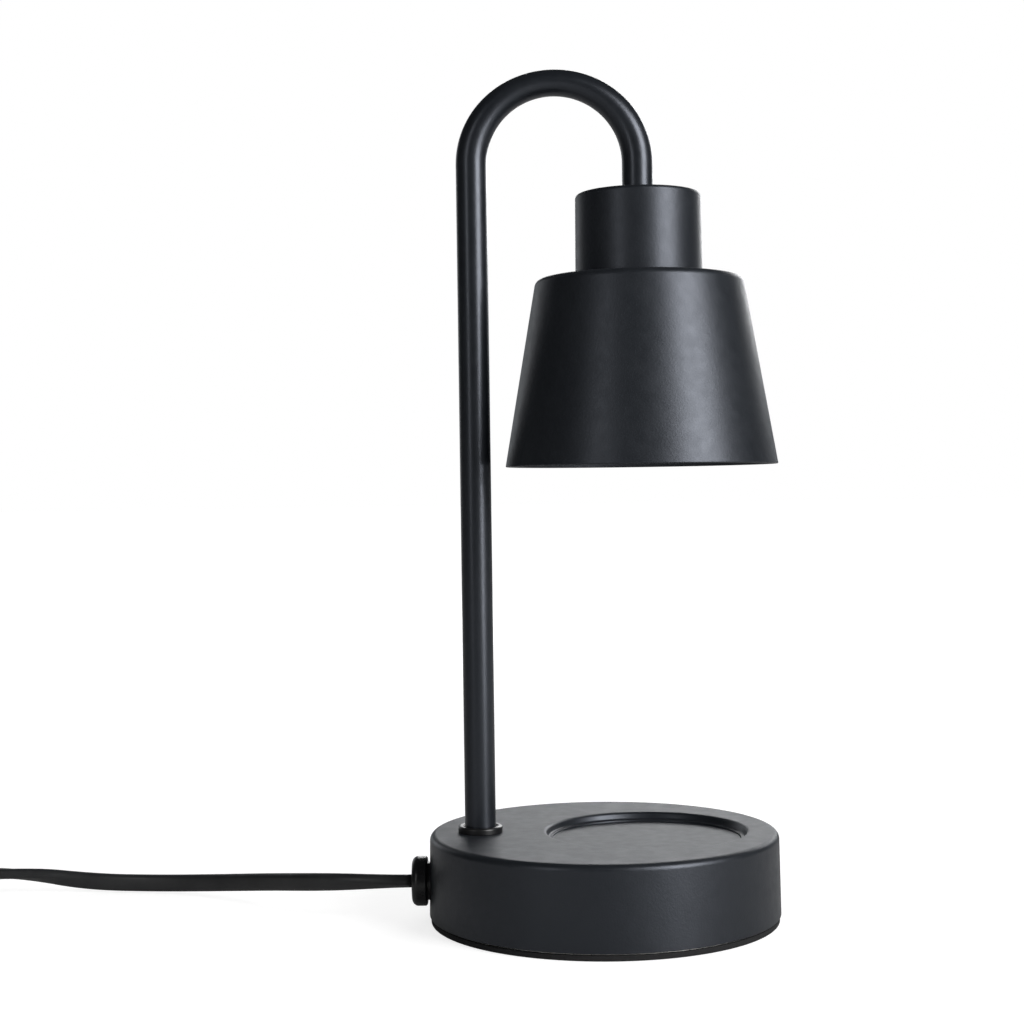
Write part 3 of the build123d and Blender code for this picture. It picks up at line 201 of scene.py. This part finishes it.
def powder_coat(name, roughness, peel, top_extra=0.0):
    """Satin black coating: orange peel of two sizes, and a slight drift in tone and gloss. Faces
    that look up are rougher by top_extra."""
    made = material(
        name,
        (0.008, 0.009, 0.011),
        roughness,
        tones=((22, 2), (0.0065, 0.0078, 0.0098), (0.0090, 0.0105, 0.0128)),
        grain=(((1.6, 2), 0.012 * peel), ((0.65, 3), 0.032 * peel)),
        Specular_IOR_Level=0.65,
        Specular_Tint=(0.83, 0.88, 1.0, 1),
    )
    gloss = spread(made, noise(made, 4, 3), roughness - COAT_DRIFT, roughness + COAT_DRIFT)
    if top_extra:
        extra = spread(made, coordinate(made, "Normal", "Z"), 0.0, top_extra, TOP_START, TOP_END)
        gloss = combine(made, "ADD", gloss, extra)
    feed(made, "Roughness", gloss)
    return made


def moulding(name, tone, roughness):
    """Moulded black plastic with a fine spark-eroded grain."""
    return material(
        name,
        (tone, tone, tone * MOULDING_BLUE),
        roughness,
        gloss=((3, 2), roughness - 0.04, roughness + 0.05),
        grain=(((0.22, 2), 0.012),),
    )


BASE_COAT = powder_coat("coat_base", 0.38, 1.0, 0.22)
TUBE_COAT = powder_coat("coat_tube", 0.33, 0.5)
SHADE_COAT = powder_coat("coat_shade", 0.41, 1.0, 0.2)

MOULDING = moulding("moulding", 0.012, 0.42)
BUSHING = moulding("bushing_moulding", 0.006, 0.30)
COLLAR = moulding("collar_gloss", 0.006, 0.34)

SHEATH = material(
    "cord_sheath",
    (0.021, 0.021, 0.023),
    0.38,
    tones=((9, 2), (0.013, 0.0135, 0.0145), (0.019, 0.0195, 0.0205)),
    gloss=((2.5, 3), 0.34, 0.44),
    grain=(((0.9, 2), 0.010),),
)
FOAM = material(
    "foot_foam",
    (0.022, 0.022, 0.023),
    0.9,
    tones=((0.5, 3), (0.004, 0.004, 0.0045), (0.010, 0.010, 0.011)),
    grain=(((0.45, 3), 0.09),),
)
PLATED = material(
    "plated_steel",
    (0.60, 0.60, 0.58),
    0.34,
    1.0,
    tones=((5, 3), (0.52, 0.52, 0.50), (0.66, 0.66, 0.65)),
    gloss=((1.2, 3), 0.26, 0.42),
    grain=(((0.5, 2), 0.01),),
)
CAST = material(
    "cast_weight",
    (0.16, 0.15, 0.15),
    0.72,
    0.4,
    tones=((3, 5), (0.10, 0.095, 0.09), (0.21, 0.20, 0.19)),
    grain=(((1.4, 5), 0.18),),
)
CERAMIC = material(
    "ceramic",
    (0.84, 0.82, 0.77),
    0.24,
    tones=((2.5, 4), (0.78, 0.755, 0.70), (0.88, 0.865, 0.82)),
    grain=(((1.8, 3), 0.03),),
    Coat_Weight=0.4,
    Coat_Roughness=0.12,
)
WIRE = material(
    "wire_insulation",
    (0.75, 0.75, 0.73),
    0.45,
    tones=((6, 2), (0.70, 0.70, 0.68), (0.80, 0.80, 0.78)),
    grain=(((0.6, 2), 0.01),),
)
BRASS = material(
    "contact_brass",
    (0.78, 0.60, 0.30),
    0.24,
    1.0,
    tones=((2, 3), (0.70, 0.52, 0.25), (0.83, 0.66, 0.36)),
    gloss=((0.8, 3, (1, 1, 0.1)), 0.18, 0.32),
)
GLASS = material(
    "clear_glass",
    (0.97, 0.98, 0.98),
    0.03,
    grain=(((6, 1), 0.015),),
    IOR=1.5,
    Transmission_Weight=0.95,
)
MIRROR = material(
    "mirror_glass",
    (0.86, 0.85, 0.83),
    0.08,
    1.0,
    tones=((8, 2), (0.80, 0.79, 0.78), (0.90, 0.89, 0.86)),
    gloss=((1.5, 2), 0.05, 0.13),
)
TIE = material(
    "coil_tie",
    (0.03, 0.03, 0.032),
    0.5,
    gloss=((1.0, 2), 0.42, 0.58),
    grain=(((0.5, 2, (1, 1, 0.2)), 0.03),),
)

SLOT_MATERIALS = {
    "black_coat": BASE_COAT,
    "black_moulding": MOULDING,
    "cord_sheath": SHEATH,
    "plated_steel": PLATED,
    "cast_weight": CAST,
    "foot_foam": FOAM,
    "ceramic": CERAMIC,
    "wire_insulation": WIRE,
    "contact_brass": BRASS,
    "clear_glass": GLASS,
    "mirror_glass": MIRROR,
}
for node, slot in SLOT_OF.items():
    NODES[node].material_slots[0].material = SLOT_MATERIALS[slot]

# ---------------------------------------------------------------- pieces

WELD, SLIVER = 0.001, 0.0002  # points this close become one, before and after the rounding
FLAT_ANGLE, SHARP_ANGLE = 0.5, 28  # degrees: flatter joins vanish, and sharper edges are rounded
EDGE_SEGMENTS = 3


def stand_in(name, mesh, made, body, nodes):
    """A piece of one material that rides on a body in place of CAD nodes, which it hides."""
    mesh.materials.clear()
    mesh.materials.append(made)
    obj = bpy.data.objects.new(name, mesh)
    scene.collection.objects.link(obj)
    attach(obj, body)
    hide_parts(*nodes)
    return obj


def piece(name, verts, faces, made, body, nodes):
    """A smooth piece from points in millimetres, in place of CAD nodes."""
    mesh = bpy.data.meshes.new(name)
    mesh.from_pydata([Vector(v) * MM for v in verts], [], faces)
    mesh.validate()
    bm = bmesh.new()
    bm.from_mesh(mesh)
    bmesh.ops.recalc_face_normals(bm, faces=bm.faces)
    bm.to_mesh(mesh)
    bm.free()
    mesh.shade_smooth()
    return stand_in(name, mesh, made, body, nodes)


def softened(node, width, made, body="lamp"):
    """A copy of a CAD node with its sharp edges rounded over a width in millimetres."""
    solid = NODES[node]
    bm = bmesh.new()
    bm.from_mesh(solid.data)
    bm.transform(solid.matrix_world)
    bmesh.ops.remove_doubles(bm, verts=bm.verts, dist=WELD * MM)
    bmesh.ops.dissolve_limit(bm, angle_limit=radians(FLAT_ANGLE), verts=bm.verts, edges=bm.edges)
    mesh = bpy.data.meshes.new(node + "_rough")
    bm.to_mesh(mesh)
    bm.free()
    mesh.shade_smooth()
    rough = bpy.data.objects.new(node + "_rough", mesh)
    scene.collection.objects.link(rough)
    bevel = rough.modifiers.new("edges", "BEVEL")
    bevel.width, bevel.segments = width * MM, EDGE_SEGMENTS
    bevel.limit_method, bevel.angle_limit = "ANGLE", radians(SHARP_ANGLE)
    bevel.harden_normals = True
    rough.modifiers.new("normals", "WEIGHTED_NORMAL").keep_sharp = True
    graph = bpy.context.evaluated_depsgraph_get()
    ready = bpy.data.meshes.new_from_object(rough.evaluated_get(graph))
    bpy.data.objects.remove(rough)
    bpy.data.meshes.remove(mesh)
    bm = bmesh.new()
    bm.from_mesh(ready)
    bmesh.ops.dissolve_degenerate(bm, dist=SLIVER * MM, edges=bm.edges)
    bm.to_mesh(ready)
    bm.free()
    ready.name = node + "_skin"
    return stand_in(node + "_skin", ready, made, body, [node])


# ---------------------------------------------------------------- profiles and lofts


def arc(centre, start, end, steps):
    """Points from start to end along their shorter arc about a centre."""
    ray = Vector(start) - centre
    turn = -ray.angle_signed(Vector(end) - centre)
    points = []
    for k in range(steps + 1):
        a = turn * k / steps
        spun = Vector((ray.x * cos(a) - ray.y * sin(a), ray.x * sin(a) + ray.y * cos(a)))
        points.append(tuple(centre + spun))
    return points


def rounded(corners, steps=8):
    """A profile through (x, z, radius) corners, with an arc and a point close beside each of its
    ends at every corner that has a radius, which the first and the last can't have."""
    points = []
    for i, (x, z, radius) in enumerate(corners):
        if not radius:
            points.append((x, z))
            continue
        here, before, after = Vector((x, z)), Vector(corners[i - 1][:2]), Vector(corners[i + 1][:2])
        to_a, to_b = (before - here).normalized(), (after - here).normalized()
        half = to_a.angle(to_b) / 2
        reach = radius / tan(half)
        start, end = here + to_a * reach, here + to_b * reach
        centre = here + (to_a + to_b).normalized() * (radius / sin(half))
        points.append(tuple(start + to_a * HOLD))
        points += arc(centre, start, end, steps)
        points.append(tuple(end + to_b * HOLD))
    return points


def arc_centre(start, middle, end):
    """The centre of the circle through three (x, z) points."""
    a, b, c = Vector(start), Vector(middle) - Vector(start), Vector(end) - Vector(start)
    bb, cc = b.length_squared, c.length_squared
    across = Vector((c.y * bb - b.y * cc, b.x * cc - c.x * bb))
    return a + across / (2 * (b.x * c.y - b.y * c.x))


def arc_through(start, middle, end, steps):
    """Points from start to end along the circle through three (x, z) points."""
    return arc(arc_centre(start, middle, end), start, end, steps)


def ring_loft(rings, segments):
    """Points and faces of a surface through rings of (centre, first radius vector, second one),
    open at both ends unless its first or last ring is a single point, without radius vectors."""
    verts, faces, starts = [], [], []
    for centre, u, v in rings:
        starts.append((len(verts), 1 if u is None else segments))
        if u is None:
            verts.append(Vector(centre))
            continue
        for k in range(segments):
            a = 2 * pi * k / segments
            verts.append(Vector(centre) + Vector(u) * cos(a) + Vector(v) * sin(a))
    for (a0, an), (b0, bn) in zip(starts, starts[1:]):
        for k in range(segments):
            j = (k + 1) % segments
            if an == 1:
                faces.append((a0, b0 + k, b0 + j))
            elif bn == 1:
                faces.append((a0 + k, b0, a0 + j))
            else:
                faces.append((a0 + k, b0 + k, b0 + j, a0 + j))
    return verts, faces


def lathe(parts):
    """Rings about upright axes from (axis x, profile) parts; a radius of 0 becomes a point."""
    rings = []
    for axis, profile in parts:
        for r, z in profile:
            centre = (axis, 0, z)
            rings.append((centre, None, None) if r == 0 else (centre, (r, 0, 0), (0, r, 0)))
    return rings


def turned(name, parts, segments, made, node):
    """A piece on the body lamp, turned from (axis x, profile) parts."""
    verts, faces = ring_loft(lathe(parts), segments)
    return piece(name, verts, faces, made, "lamp", [node])


# ---------------------------------------------------------------- cords

ROUTE_RESOLUTION = 12
SECTION_POINTS = 28
WIDE_POWER, THICK_POWER = 0.8, 0.9  # under 1, so that a core is a little squarer than round


def eased(marks, at):
    """The values at a key in a table of (key, value, ...) marks, eased from mark to mark."""
    for (start, *before), (end, *after) in zip(marks, marks[1:]):
        if at <= end:
            break
    t = min(1, (at - start) / (end - start))
    t *= t * (3 - 2 * t)
    return [a + (b - a) * t for a, b in zip(before, after)]


def route_line(points):
    """The smooth line of a route: points along the NURBS spline that has it as control points."""
    curve = bpy.data.curves.new("route", "CURVE")
    curve.dimensions = "3D"
    curve.resolution_u = ROUTE_RESOLUTION
    spline = curve.splines.new("NURBS")
    spline.points.add(len(points) - 1)
    for point, place in zip(spline.points, points):
        point.co = (*(Vector(place) * MM), 1)
    spline.order_u = 3
    spline.use_endpoint_u = True
    holder = bpy.data.objects.new("route", curve)
    mesh = bpy.data.meshes.new_from_object(holder)
    line = [v.co.copy() for v in mesh.vertices]
    bpy.data.objects.remove(holder)
    bpy.data.curves.remove(curve)
    bpy.data.meshes.remove(mesh)
    return line


def cord_section():
    """(wide, thick) points around the cord: a half core at each side and flats between them."""
    half_t, core_at = CORD_T / 2, (CORD_W - CORD_T) / 2
    section = []
    for k in range(SECTION_POINTS):
        a = 2 * pi * k / SECTION_POINTS
        wide = core_at + half_t * abs(cos(a)) ** WIDE_POWER
        thick = half_t * abs(sin(a)) ** THICK_POWER
        section.append((copysign(wide, cos(a)), copysign(thick, sin(a))))
    return section


def flat_cord(name, route, tilts, nodes):
    """A flat two-core cord along a route, and its line. tilts gives (share of its length, degrees)
    that the wide side stands up from level."""
    line = route_line(route)
    total = sum((b - a).length for a, b in zip(line, line[1:]))
    section = cord_section()
    verts, faces = [], []
    travelled = 0.0
    for i, here in enumerate(line):
        before, after = line[max(i - 1, 0)], line[min(i + 1, len(line) - 1)]
        travelled += (here - before).length
        along = (after - before).normalized()
        level = Vector((0, 0, 1)).cross(along).normalized()
        up = along.cross(level)
        tilt = radians(eased(tilts, travelled / total)[0])
        wide_way = level * cos(tilt) + up * sin(tilt)
        thick_way = up * cos(tilt) - level * sin(tilt)
        verts += [(here + (wide_way * w + thick_way * t) * MM) / MM for w, t in section]
    n = len(section)
    for first in range(0, len(verts) - n, n):
        for k in range(n):
            j = (k + 1) % n
            faces.append((first + k, first + n + k, first + n + j, first + j))
    faces.append(tuple(range(n)))
    faces.append(tuple(reversed(range(len(verts) - n, len(verts)))))
    return piece(name, verts, faces, SHEATH, "lamp", nodes), line


LAMP_ROUTE = [
    (-66.1, 0.0, 13.6),
    (-83.5, 0.0, 13.6),
    (-101.5, 8.5, 11.9),
    (-118.5, 24.0, 8.9),
    (-137.5, 39.0, 5.7),
    (-162.5, 50.0, 3.5),
    (-188.5, 53.0, 3.7),
    (-212.5, 50.0, 8.0),
    (-229.0, 50.0, 8.0),
]
SWITCH_ROUTE = [
    (-289.0, 50.0, 8.0),
    (-306.5, 50.0, 8.0),
    (-325.0, 40.5, 5.5),
    (-336.0, 23.0, 4.3),
    (-337.8, 1.2, 4.2),
]
PLUG_ROUTE = [
    (-287.0, -60.0, 10.0),
    (-273.0, -63.0, 7.2),
    (-262.0, -63.0, 7.2),
]
LAMP_TILTS = ((0, 25), (0.24, 80), (0.40, 88), (0.72, 88), (1, 0))
PLUG_TILTS = ((0, 0), (0.05, 88), (0.97, 90), (1, 0))

TURN_POINTS = 16
# The radius by the turns made: inwards through the low layer, then outwards through the high one.
COIL_IN = ((0, 39.4), (0.8, 39.2), (1.2, 35.4), (1.8, 35.0), (2.2, 31.1), (2.45, 31.0))
COIL_OUT = ((2.75, 31.0), (3.1, 31.1), (3.5, 35.0), (4.1, 35.4), (4.5, 39.2), (5.25, 39.4))


def coil_route():
    """The put-away turns, from the coil's west side to its south side."""
    marks = [(turn, r, COIL_LOW_Z) for turn, r in COIL_IN]
    marks += [(turn, r, COIL_HIGH_Z) for turn, r in COIL_OUT]
    bulge = 1 / cos(pi / TURN_POINTS)
    points = []
    for k in range(round(marks[-1][0] * TURN_POINTS) + 1):
        turn = k / TURN_POINTS
        r, z = eased(marks, turn)
        a = pi + 2 * pi * turn
        points.append((COIL_X + r * bulge * cos(a), COIL_Y + r * bulge * sin(a), z))
    return points


switch_shells = [softened(node, 0.35, MOULDING) for node in ("switch_base", "switch_cover")]
softened("switch_rocker", 0.3, MOULDING, "rocker")
plug_pieces = [
    softened("plug_body", 0.5, MOULDING),
    softened("plug_blades", 0.18, BRASS),
    softened("coil_ties", 0.25, TIE),
]

lamp_cord, lamp_line = flat_cord("cord_to_switch", LAMP_ROUTE, LAMP_TILTS, ["lamp_cord"])

coil_cord, coil_line = flat_cord(
    "cord_to_plug",
    SWITCH_ROUTE + coil_route() + PLUG_ROUTE,
    PLUG_TILTS,
    ["switch_cord", "cord_coil", "plug_cord"],
)

# ---------------------------------------------------------------- base

wall_foot_r = RECESS_R - RECESS_DEPTH * tan(radians(RECESS_DRAFT))
ledge_r = wall_foot_r - LEDGE_W
ledge_z, floor_z = BASE_H - RECESS_DEPTH, BASE_H - RECESS_DEPTH - LEDGE_DEPTH
top_r = SHELL_R - (BASE_H - SHELL_Z) * tan(radians(SHELL_TAPER))
recess_top = rounded(
    [
        (0, floor_z, 0),
        (ledge_r, floor_z, STEP_FOOT_ROUND),
        (ledge_r, ledge_z, LEDGE_ROUND),
        (wall_foot_r, ledge_z, WALL_FOOT_ROUND),
        (RECESS_R, BASE_H, RIM_ROUND),
        (RECESS_R + RIM_FLAT, BASE_H, 0),
    ]
)
shell_side = rounded(
    [
        (top_r - SHELL_ROUND - EDGE_FLAT, BASE_H, 0),
        (top_r, BASE_H, SHELL_ROUND),
        (SHELL_R, SHELL_Z, SHELL_EDGE_ROUND),
        (SHELL_R - SHELL_WALL, SHELL_Z, SHELL_EDGE_ROUND),
        (top_r - SHELL_WALL, BASE_H - SHELL_WALL, SHELL_ROUND - SHELL_WALL),
        (RECESS_R + HEAD_X + SHELL_WALL + EDGE_FLAT, BASE_H - SHELL_WALL, 0),
    ],
    steps=12,
)
recess_under = rounded(
    [
        (RECESS_R + SHELL_WALL, BASE_H - SHELL_WALL, 0),
        (wall_foot_r + SHELL_WALL, floor_z - SHELL_WALL, UNDERSIDE_ROUND),
        (0, floor_z - SHELL_WALL, 0),
    ]
)
shell_parts = [(HEAD_X, recess_top), (0, shell_side), (HEAD_X, recess_under)]
turned("base_shell_skin", shell_parts, LARGE_RING, BASE_COAT, "base_shell")

pad_profile = [
    (0, 0, 0),
    (FOOT_R, 0, PAD_ROUND),
    (FOOT_R, FOOT_T, PAD_ROUND),
    (0, FOOT_T, 0),
]
turned("foot_pad_skin", [(0, rounded(pad_profile))], LARGE_RING, FOAM, "foot_pad")

bore_r, collar_top_z = TUBE_R + SKIN_GAP, BASE_H + COLLAR_H
collar_profile = [
    (bore_r, BASE_H + COLLAR_LIP, 0),
    (bore_r, BASE_H, 0),
    (COLLAR_R, BASE_H, COLLAR_FOOT_ROUND),
    (COLLAR_R, collar_top_z, COLLAR_TOP_ROUND),
    (TUBE_R + COLLAR_LIP, collar_top_z, COLLAR_LIP_ROUND),
    (bore_r, collar_top_z - COLLAR_LIP, 0),
    (bore_r, BASE_H + COLLAR_LIP, 0),
]
collar_parts = [(POLE_X, rounded(collar_profile))]
turned("collar_skin", collar_parts, SMALL_RING, COLLAR, "pole_collar")

# ---------------------------------------------------------------- tube

BEND_STEPS = 60
END_HOLD, BEND_HOLD = 0.3, 2  # from an end or the bend to the ring that keeps the tube straight
POLE_RINGS = (BASE_H + SKIN_GAP, BASE_H + END_HOLD, 60, 120, 180, 230, HOOK_Z - BEND_HOLD)
LEG_RINGS = (HOOK_Z - BEND_HOLD, CUP_TOP_Z + END_HOLD, CUP_TOP_Z + SKIN_GAP)


def tube_rings(shrink):
    """Rings along the pole, the flattened bend and the short leg, smaller by shrink."""
    r = TUBE_R - shrink
    rings = [((POLE_X, 0, z), (-r, 0, 0), (0, r, 0)) for z in POLE_RINGS]
    for k in range(BEND_STEPS + 1):
        a = pi * k / BEND_STEPS
        flat = sin(a) ** 2
        radial, across = TUBE_R - BEND_FLAT / 2 * flat, TUBE_R + BEND_BULGE / 2 * flat
        outward = Vector((-cos(a), 0, sin(a)))
        centre = Vector((HEAD_X - BEND_R, 0, HOOK_Z)) + outward * (BEND_R - TUBE_R + radial)
        rings.append((centre, outward * (radial - shrink), Vector((0, across - shrink, 0))))
    return rings + [((HEAD_X, 0, z), (r, 0, 0), (0, r, 0)) for z in LEG_RINGS]


rings = tube_rings(0) + list(reversed(tube_rings(TUBE_WALL)))
verts, faces = ring_loft(rings + rings[:1], SMALL_RING)
piece("neck_tube_skin", verts, faces, TUBE_COAT, "lamp", ["neck_tube"])

# ---------------------------------------------------------------- head

cup_hole_r = TUBE_R - TUBE_WALL
cup_top_r = CUP_R - (CUP_TOP_Z - SHADE_TOP_Z) * tan(radians(CUP_TAPER))
cup_profile = [
    (cup_hole_r, CUP_TOP_Z, 0),
    (cup_top_r, CUP_TOP_Z, CUP_ROUND),
    (CUP_R, SHADE_TOP_Z + SKIN_GAP, CUP_EDGE_ROUND),
    (CUP_R - CUP_WALL, SHADE_TOP_Z + SKIN_GAP, CUP_EDGE_ROUND),
    (cup_top_r - CUP_WALL, CUP_TOP_Z - CUP_WALL, CUP_ROUND - CUP_WALL),
    (cup_hole_r, CUP_TOP_Z - CUP_WALL, 0),
    (cup_hole_r, CUP_TOP_Z, 0),
]
turned("cup_skin", [(HEAD_X, rounded(cup_profile, steps=10))], CUP_RING, SHADE_COAT, "cup")

shade_profile = [
    (SHADE_HOLE_R, SHADE_TOP_Z, 0),
    (SHADE_TOP_R, SHADE_TOP_Z, SHADE_ROUND),
    (SHADE_RIM_R, SHADE_RIM_Z, SHADE_EDGE_ROUND),
    (SHADE_RIM_R - SHADE_WALL, SHADE_RIM_Z, SHADE_EDGE_ROUND),
    (SHADE_TOP_R - SHADE_WALL, SHADE_TOP_Z - SHADE_WALL, SHADE_ROUND - SHADE_WALL),
    (SHADE_HOLE_R, SHADE_TOP_Z - SHADE_WALL, 0),
    (SHADE_HOLE_R, SHADE_TOP_Z, 0),
]
turned("shade_skin", [(HEAD_X, rounded(shade_profile, steps=12))], LARGE_RING, SHADE_COAT, "shade")

# ---------------------------------------------------------------- bulb

FACET_ROWS, FACET_COLUMNS, FACET_STEPS, FACET_DEPTH = 9, 32, 4, 0.32
OUTSIDE_STEPS = 24
THROAT_R, THROAT_Z = 5.0, NECK_Z - 3.0
GLASS_SEAT_R, GLASS_SEAT_Z = 22.6, FACE_Z + 2.5
LIP_R, LIP_TOP_Z = 23.5, FACE_Z + 3.2
BOWL_MIDDLE, OUTSIDE_MIDDLE = (17.5, FACE_Z + 15.4), (20.5, FACE_Z + 16.94)

bowl = ((THROAT_R, THROAT_Z), BOWL_MIDDLE, (GLASS_SEAT_R, GLASS_SEAT_Z))
outside = ((BULB_R, LIP_TOP_Z), OUTSIDE_MIDDLE, (BULB_NECK_R, NECK_Z))
lip = rounded(
    [
        (GLASS_SEAT_R, GLASS_SEAT_Z, 0),
        (LIP_R, GLASS_SEAT_Z, LIP_SEAT_ROUND),
        (LIP_R, FACE_Z, LIP_INNER_ROUND),
        (BULB_R, FACE_Z, LIP_OUTER_ROUND),
        (BULB_R, LIP_TOP_Z, 0),
    ]
)
bowl_points = arc_through(*bowl, FACET_ROWS * FACET_STEPS)
neck = [(THROAT_R, NECK_Z), (THROAT_R, THROAT_Z)]
profile = bowl_points + lip[1:] + arc_through(*outside, OUTSIDE_STEPS)[1:] + neck
columns = FACET_COLUMNS * FACET_STEPS
verts, faces = ring_loft(lathe([(HEAD_X, profile)]), columns)

# Each facet swells into the bowl, by FACET_DEPTH in its middle and by nothing at its edges, and
# every other row is half a facet further round.
bowl_centre = arc_centre(*bowl)
for k, (r, z) in enumerate(bowl_points):
    row, step = divmod(k, FACET_STEPS)
    v = step / FACET_STEPS
    inward = (bowl_centre - Vector((r, z))).normalized()
    for j in range(columns):
        u = (j + row % 2 * FACET_STEPS / 2) / FACET_STEPS % 1
        swell = FACET_DEPTH * 4 * u * (1 - u) * 4 * v * (1 - v)
        a = 2 * pi * j / columns
        verts[k * columns + j] += Vector((inward.x * cos(a), inward.x * sin(a), inward.y)) * swell
piece("bulb_reflector_skin", verts, faces, MIRROR, "bulb", ["bulb_reflector"])

# ---------------------------------------------------------------- cord bushing

softened("cord_bushing", 0.3, BUSHING)

# ---------------------------------------------------------------- floor

FLOOR_CORNERS = ((-20, -20, 0), (20, -20, 0), (20, 20, 0), (-20, 20, 0))
FLOOR_Z, FLOOR_TONE = -0.0001, 0.43
GLOW_START, GLOW_END = 0.5, 1.6  # distances from the lamp, and what the camera sees added there
GLOW_NEAR, GLOW_FAR = 0.75, 0.95

floor_mesh = bpy.data.meshes.new("floor")
floor_mesh.from_pydata(FLOOR_CORNERS, [], [(0, 1, 2, 3)])
floor = bpy.data.objects.new("floor", floor_mesh)
scene.collection.objects.link(floor)
floor.location.z = FLOOR_Z

pale_floor = material(
    "pale_floor",
    (FLOOR_TONE, FLOOR_TONE, FLOOR_TONE),
    0.9,
    Specular_IOR_Level=0.0,
    Emission_Color=(1, 1, 1, 1),
)
floor_place = add_node(pale_floor, "TexCoord", {}, "Object")
distance = add_node(pale_floor, "VectorMath", {0: floor_place}, "Value", operation="LENGTH")
glow = spread(pale_floor, distance, GLOW_NEAR, GLOW_FAR, GLOW_START, GLOW_END)
to_camera = add_node(pale_floor, "LightPath", {}, "Is Camera Ray")
feed(pale_floor, "Emission Strength", combine(pale_floor, "MULTIPLY", to_camera, glow))
floor_mesh.materials.append(pale_floor)

# ---------------------------------------------------------------- world

WHITE, AMBIENT = 1.0, 0.32
# Glossy surfaces mirror a dim room that is paler low down on the far side.
MIRRORED, MIRRORED_HORIZON, MIRRORED_TINT = 0.035, 0.29, (0.86, 0.94, 1.0)
HORIZON_AHEAD, HORIZON_UP = (0.45, 0.95), (0.10, 0.60)  # Y over which it rises, Z where it fades

world = bpy.data.worlds.new("studio")
scene.world = world
world.use_nodes = True
world.node_tree.nodes.clear()


def background(strength, tint=(1, 1, 1)):
    """A background of one tint and one strength, given as a number or a socket."""
    return add_node(world, "Background", {"Color": (*tint, 1), "Strength": strength}, "Background")


def choose(ray, no, yes):
    """The background yes for rays of one kind, and the background no for all others."""
    test = add_node(world, "LightPath", {}, ray)
    return add_node(world, "MixShader", {"Fac": test, 1: no, 2: yes}, "Shader")


ahead, up = coordinate(world, "Generated", "Y"), coordinate(world, "Generated", "Z")
horizon = combine(
    world,
    "MULTIPLY",
    spread(world, ahead, 0.0, MIRRORED_HORIZON, *HORIZON_AHEAD, "SMOOTHSTEP"),
    spread(world, up, 1.0, 0.0, *HORIZON_UP, "SMOOTHSTEP"),
)
mirrored = background(combine(world, "ADD", horizon, MIRRORED), MIRRORED_TINT)
shiny = choose("Is Glossy Ray", background(AMBIENT), mirrored)
through = choose("Is Transmission Ray", shiny, background(WHITE))
seen = choose("Is Camera Ray", through, background(WHITE))
world_output = world.node_tree.nodes.new("ShaderNodeOutputWorld")
world.node_tree.links.new(seen, world_output.inputs["Surface"])

# ---------------------------------------------------------------- lamps

AIM = Vector((0, 0, 0.16))  # what every softbox faces
# Name, degrees from the camera's side towards +X, height, distance, width and height of the face,
# and watts.
SOFTBOXES = (
    ("key", 49, 0.66, 1.3, 0.74, 0.9, 21.8),
    ("low", 45, 0.07, 1.3, 0.34, 0.13, 1.8),
    ("fill", -39, 0.56, 1.5, 0.18, 0.9, 2.1),
    ("back", 168, 0.75, 1.8, 1.2, 0.6, 13.5),
    ("rim", 143, 0.75, 1.8, 0.6, 0.6, 2.0),
    ("rim_left", -146, 0.45, 1.8, 0.6, 0.8, 0.9),
)
for name, azimuth, height, away, wide, tall, power in SOFTBOXES:
    light = bpy.data.lights.new(name, "AREA")
    light.shape = "RECTANGLE"
    light.size, light.size_y, light.energy = wide, tall, power
    softbox = bpy.data.objects.new(name, light)
    scene.collection.objects.link(softbox)
    a = radians(azimuth)
    softbox.location = (away * sin(a), -away * cos(a), height)
    softbox.rotation_mode = "QUATERNION"
    softbox.rotation_quaternion = (AIM - softbox.location).to_track_quat("-Z", "Y")
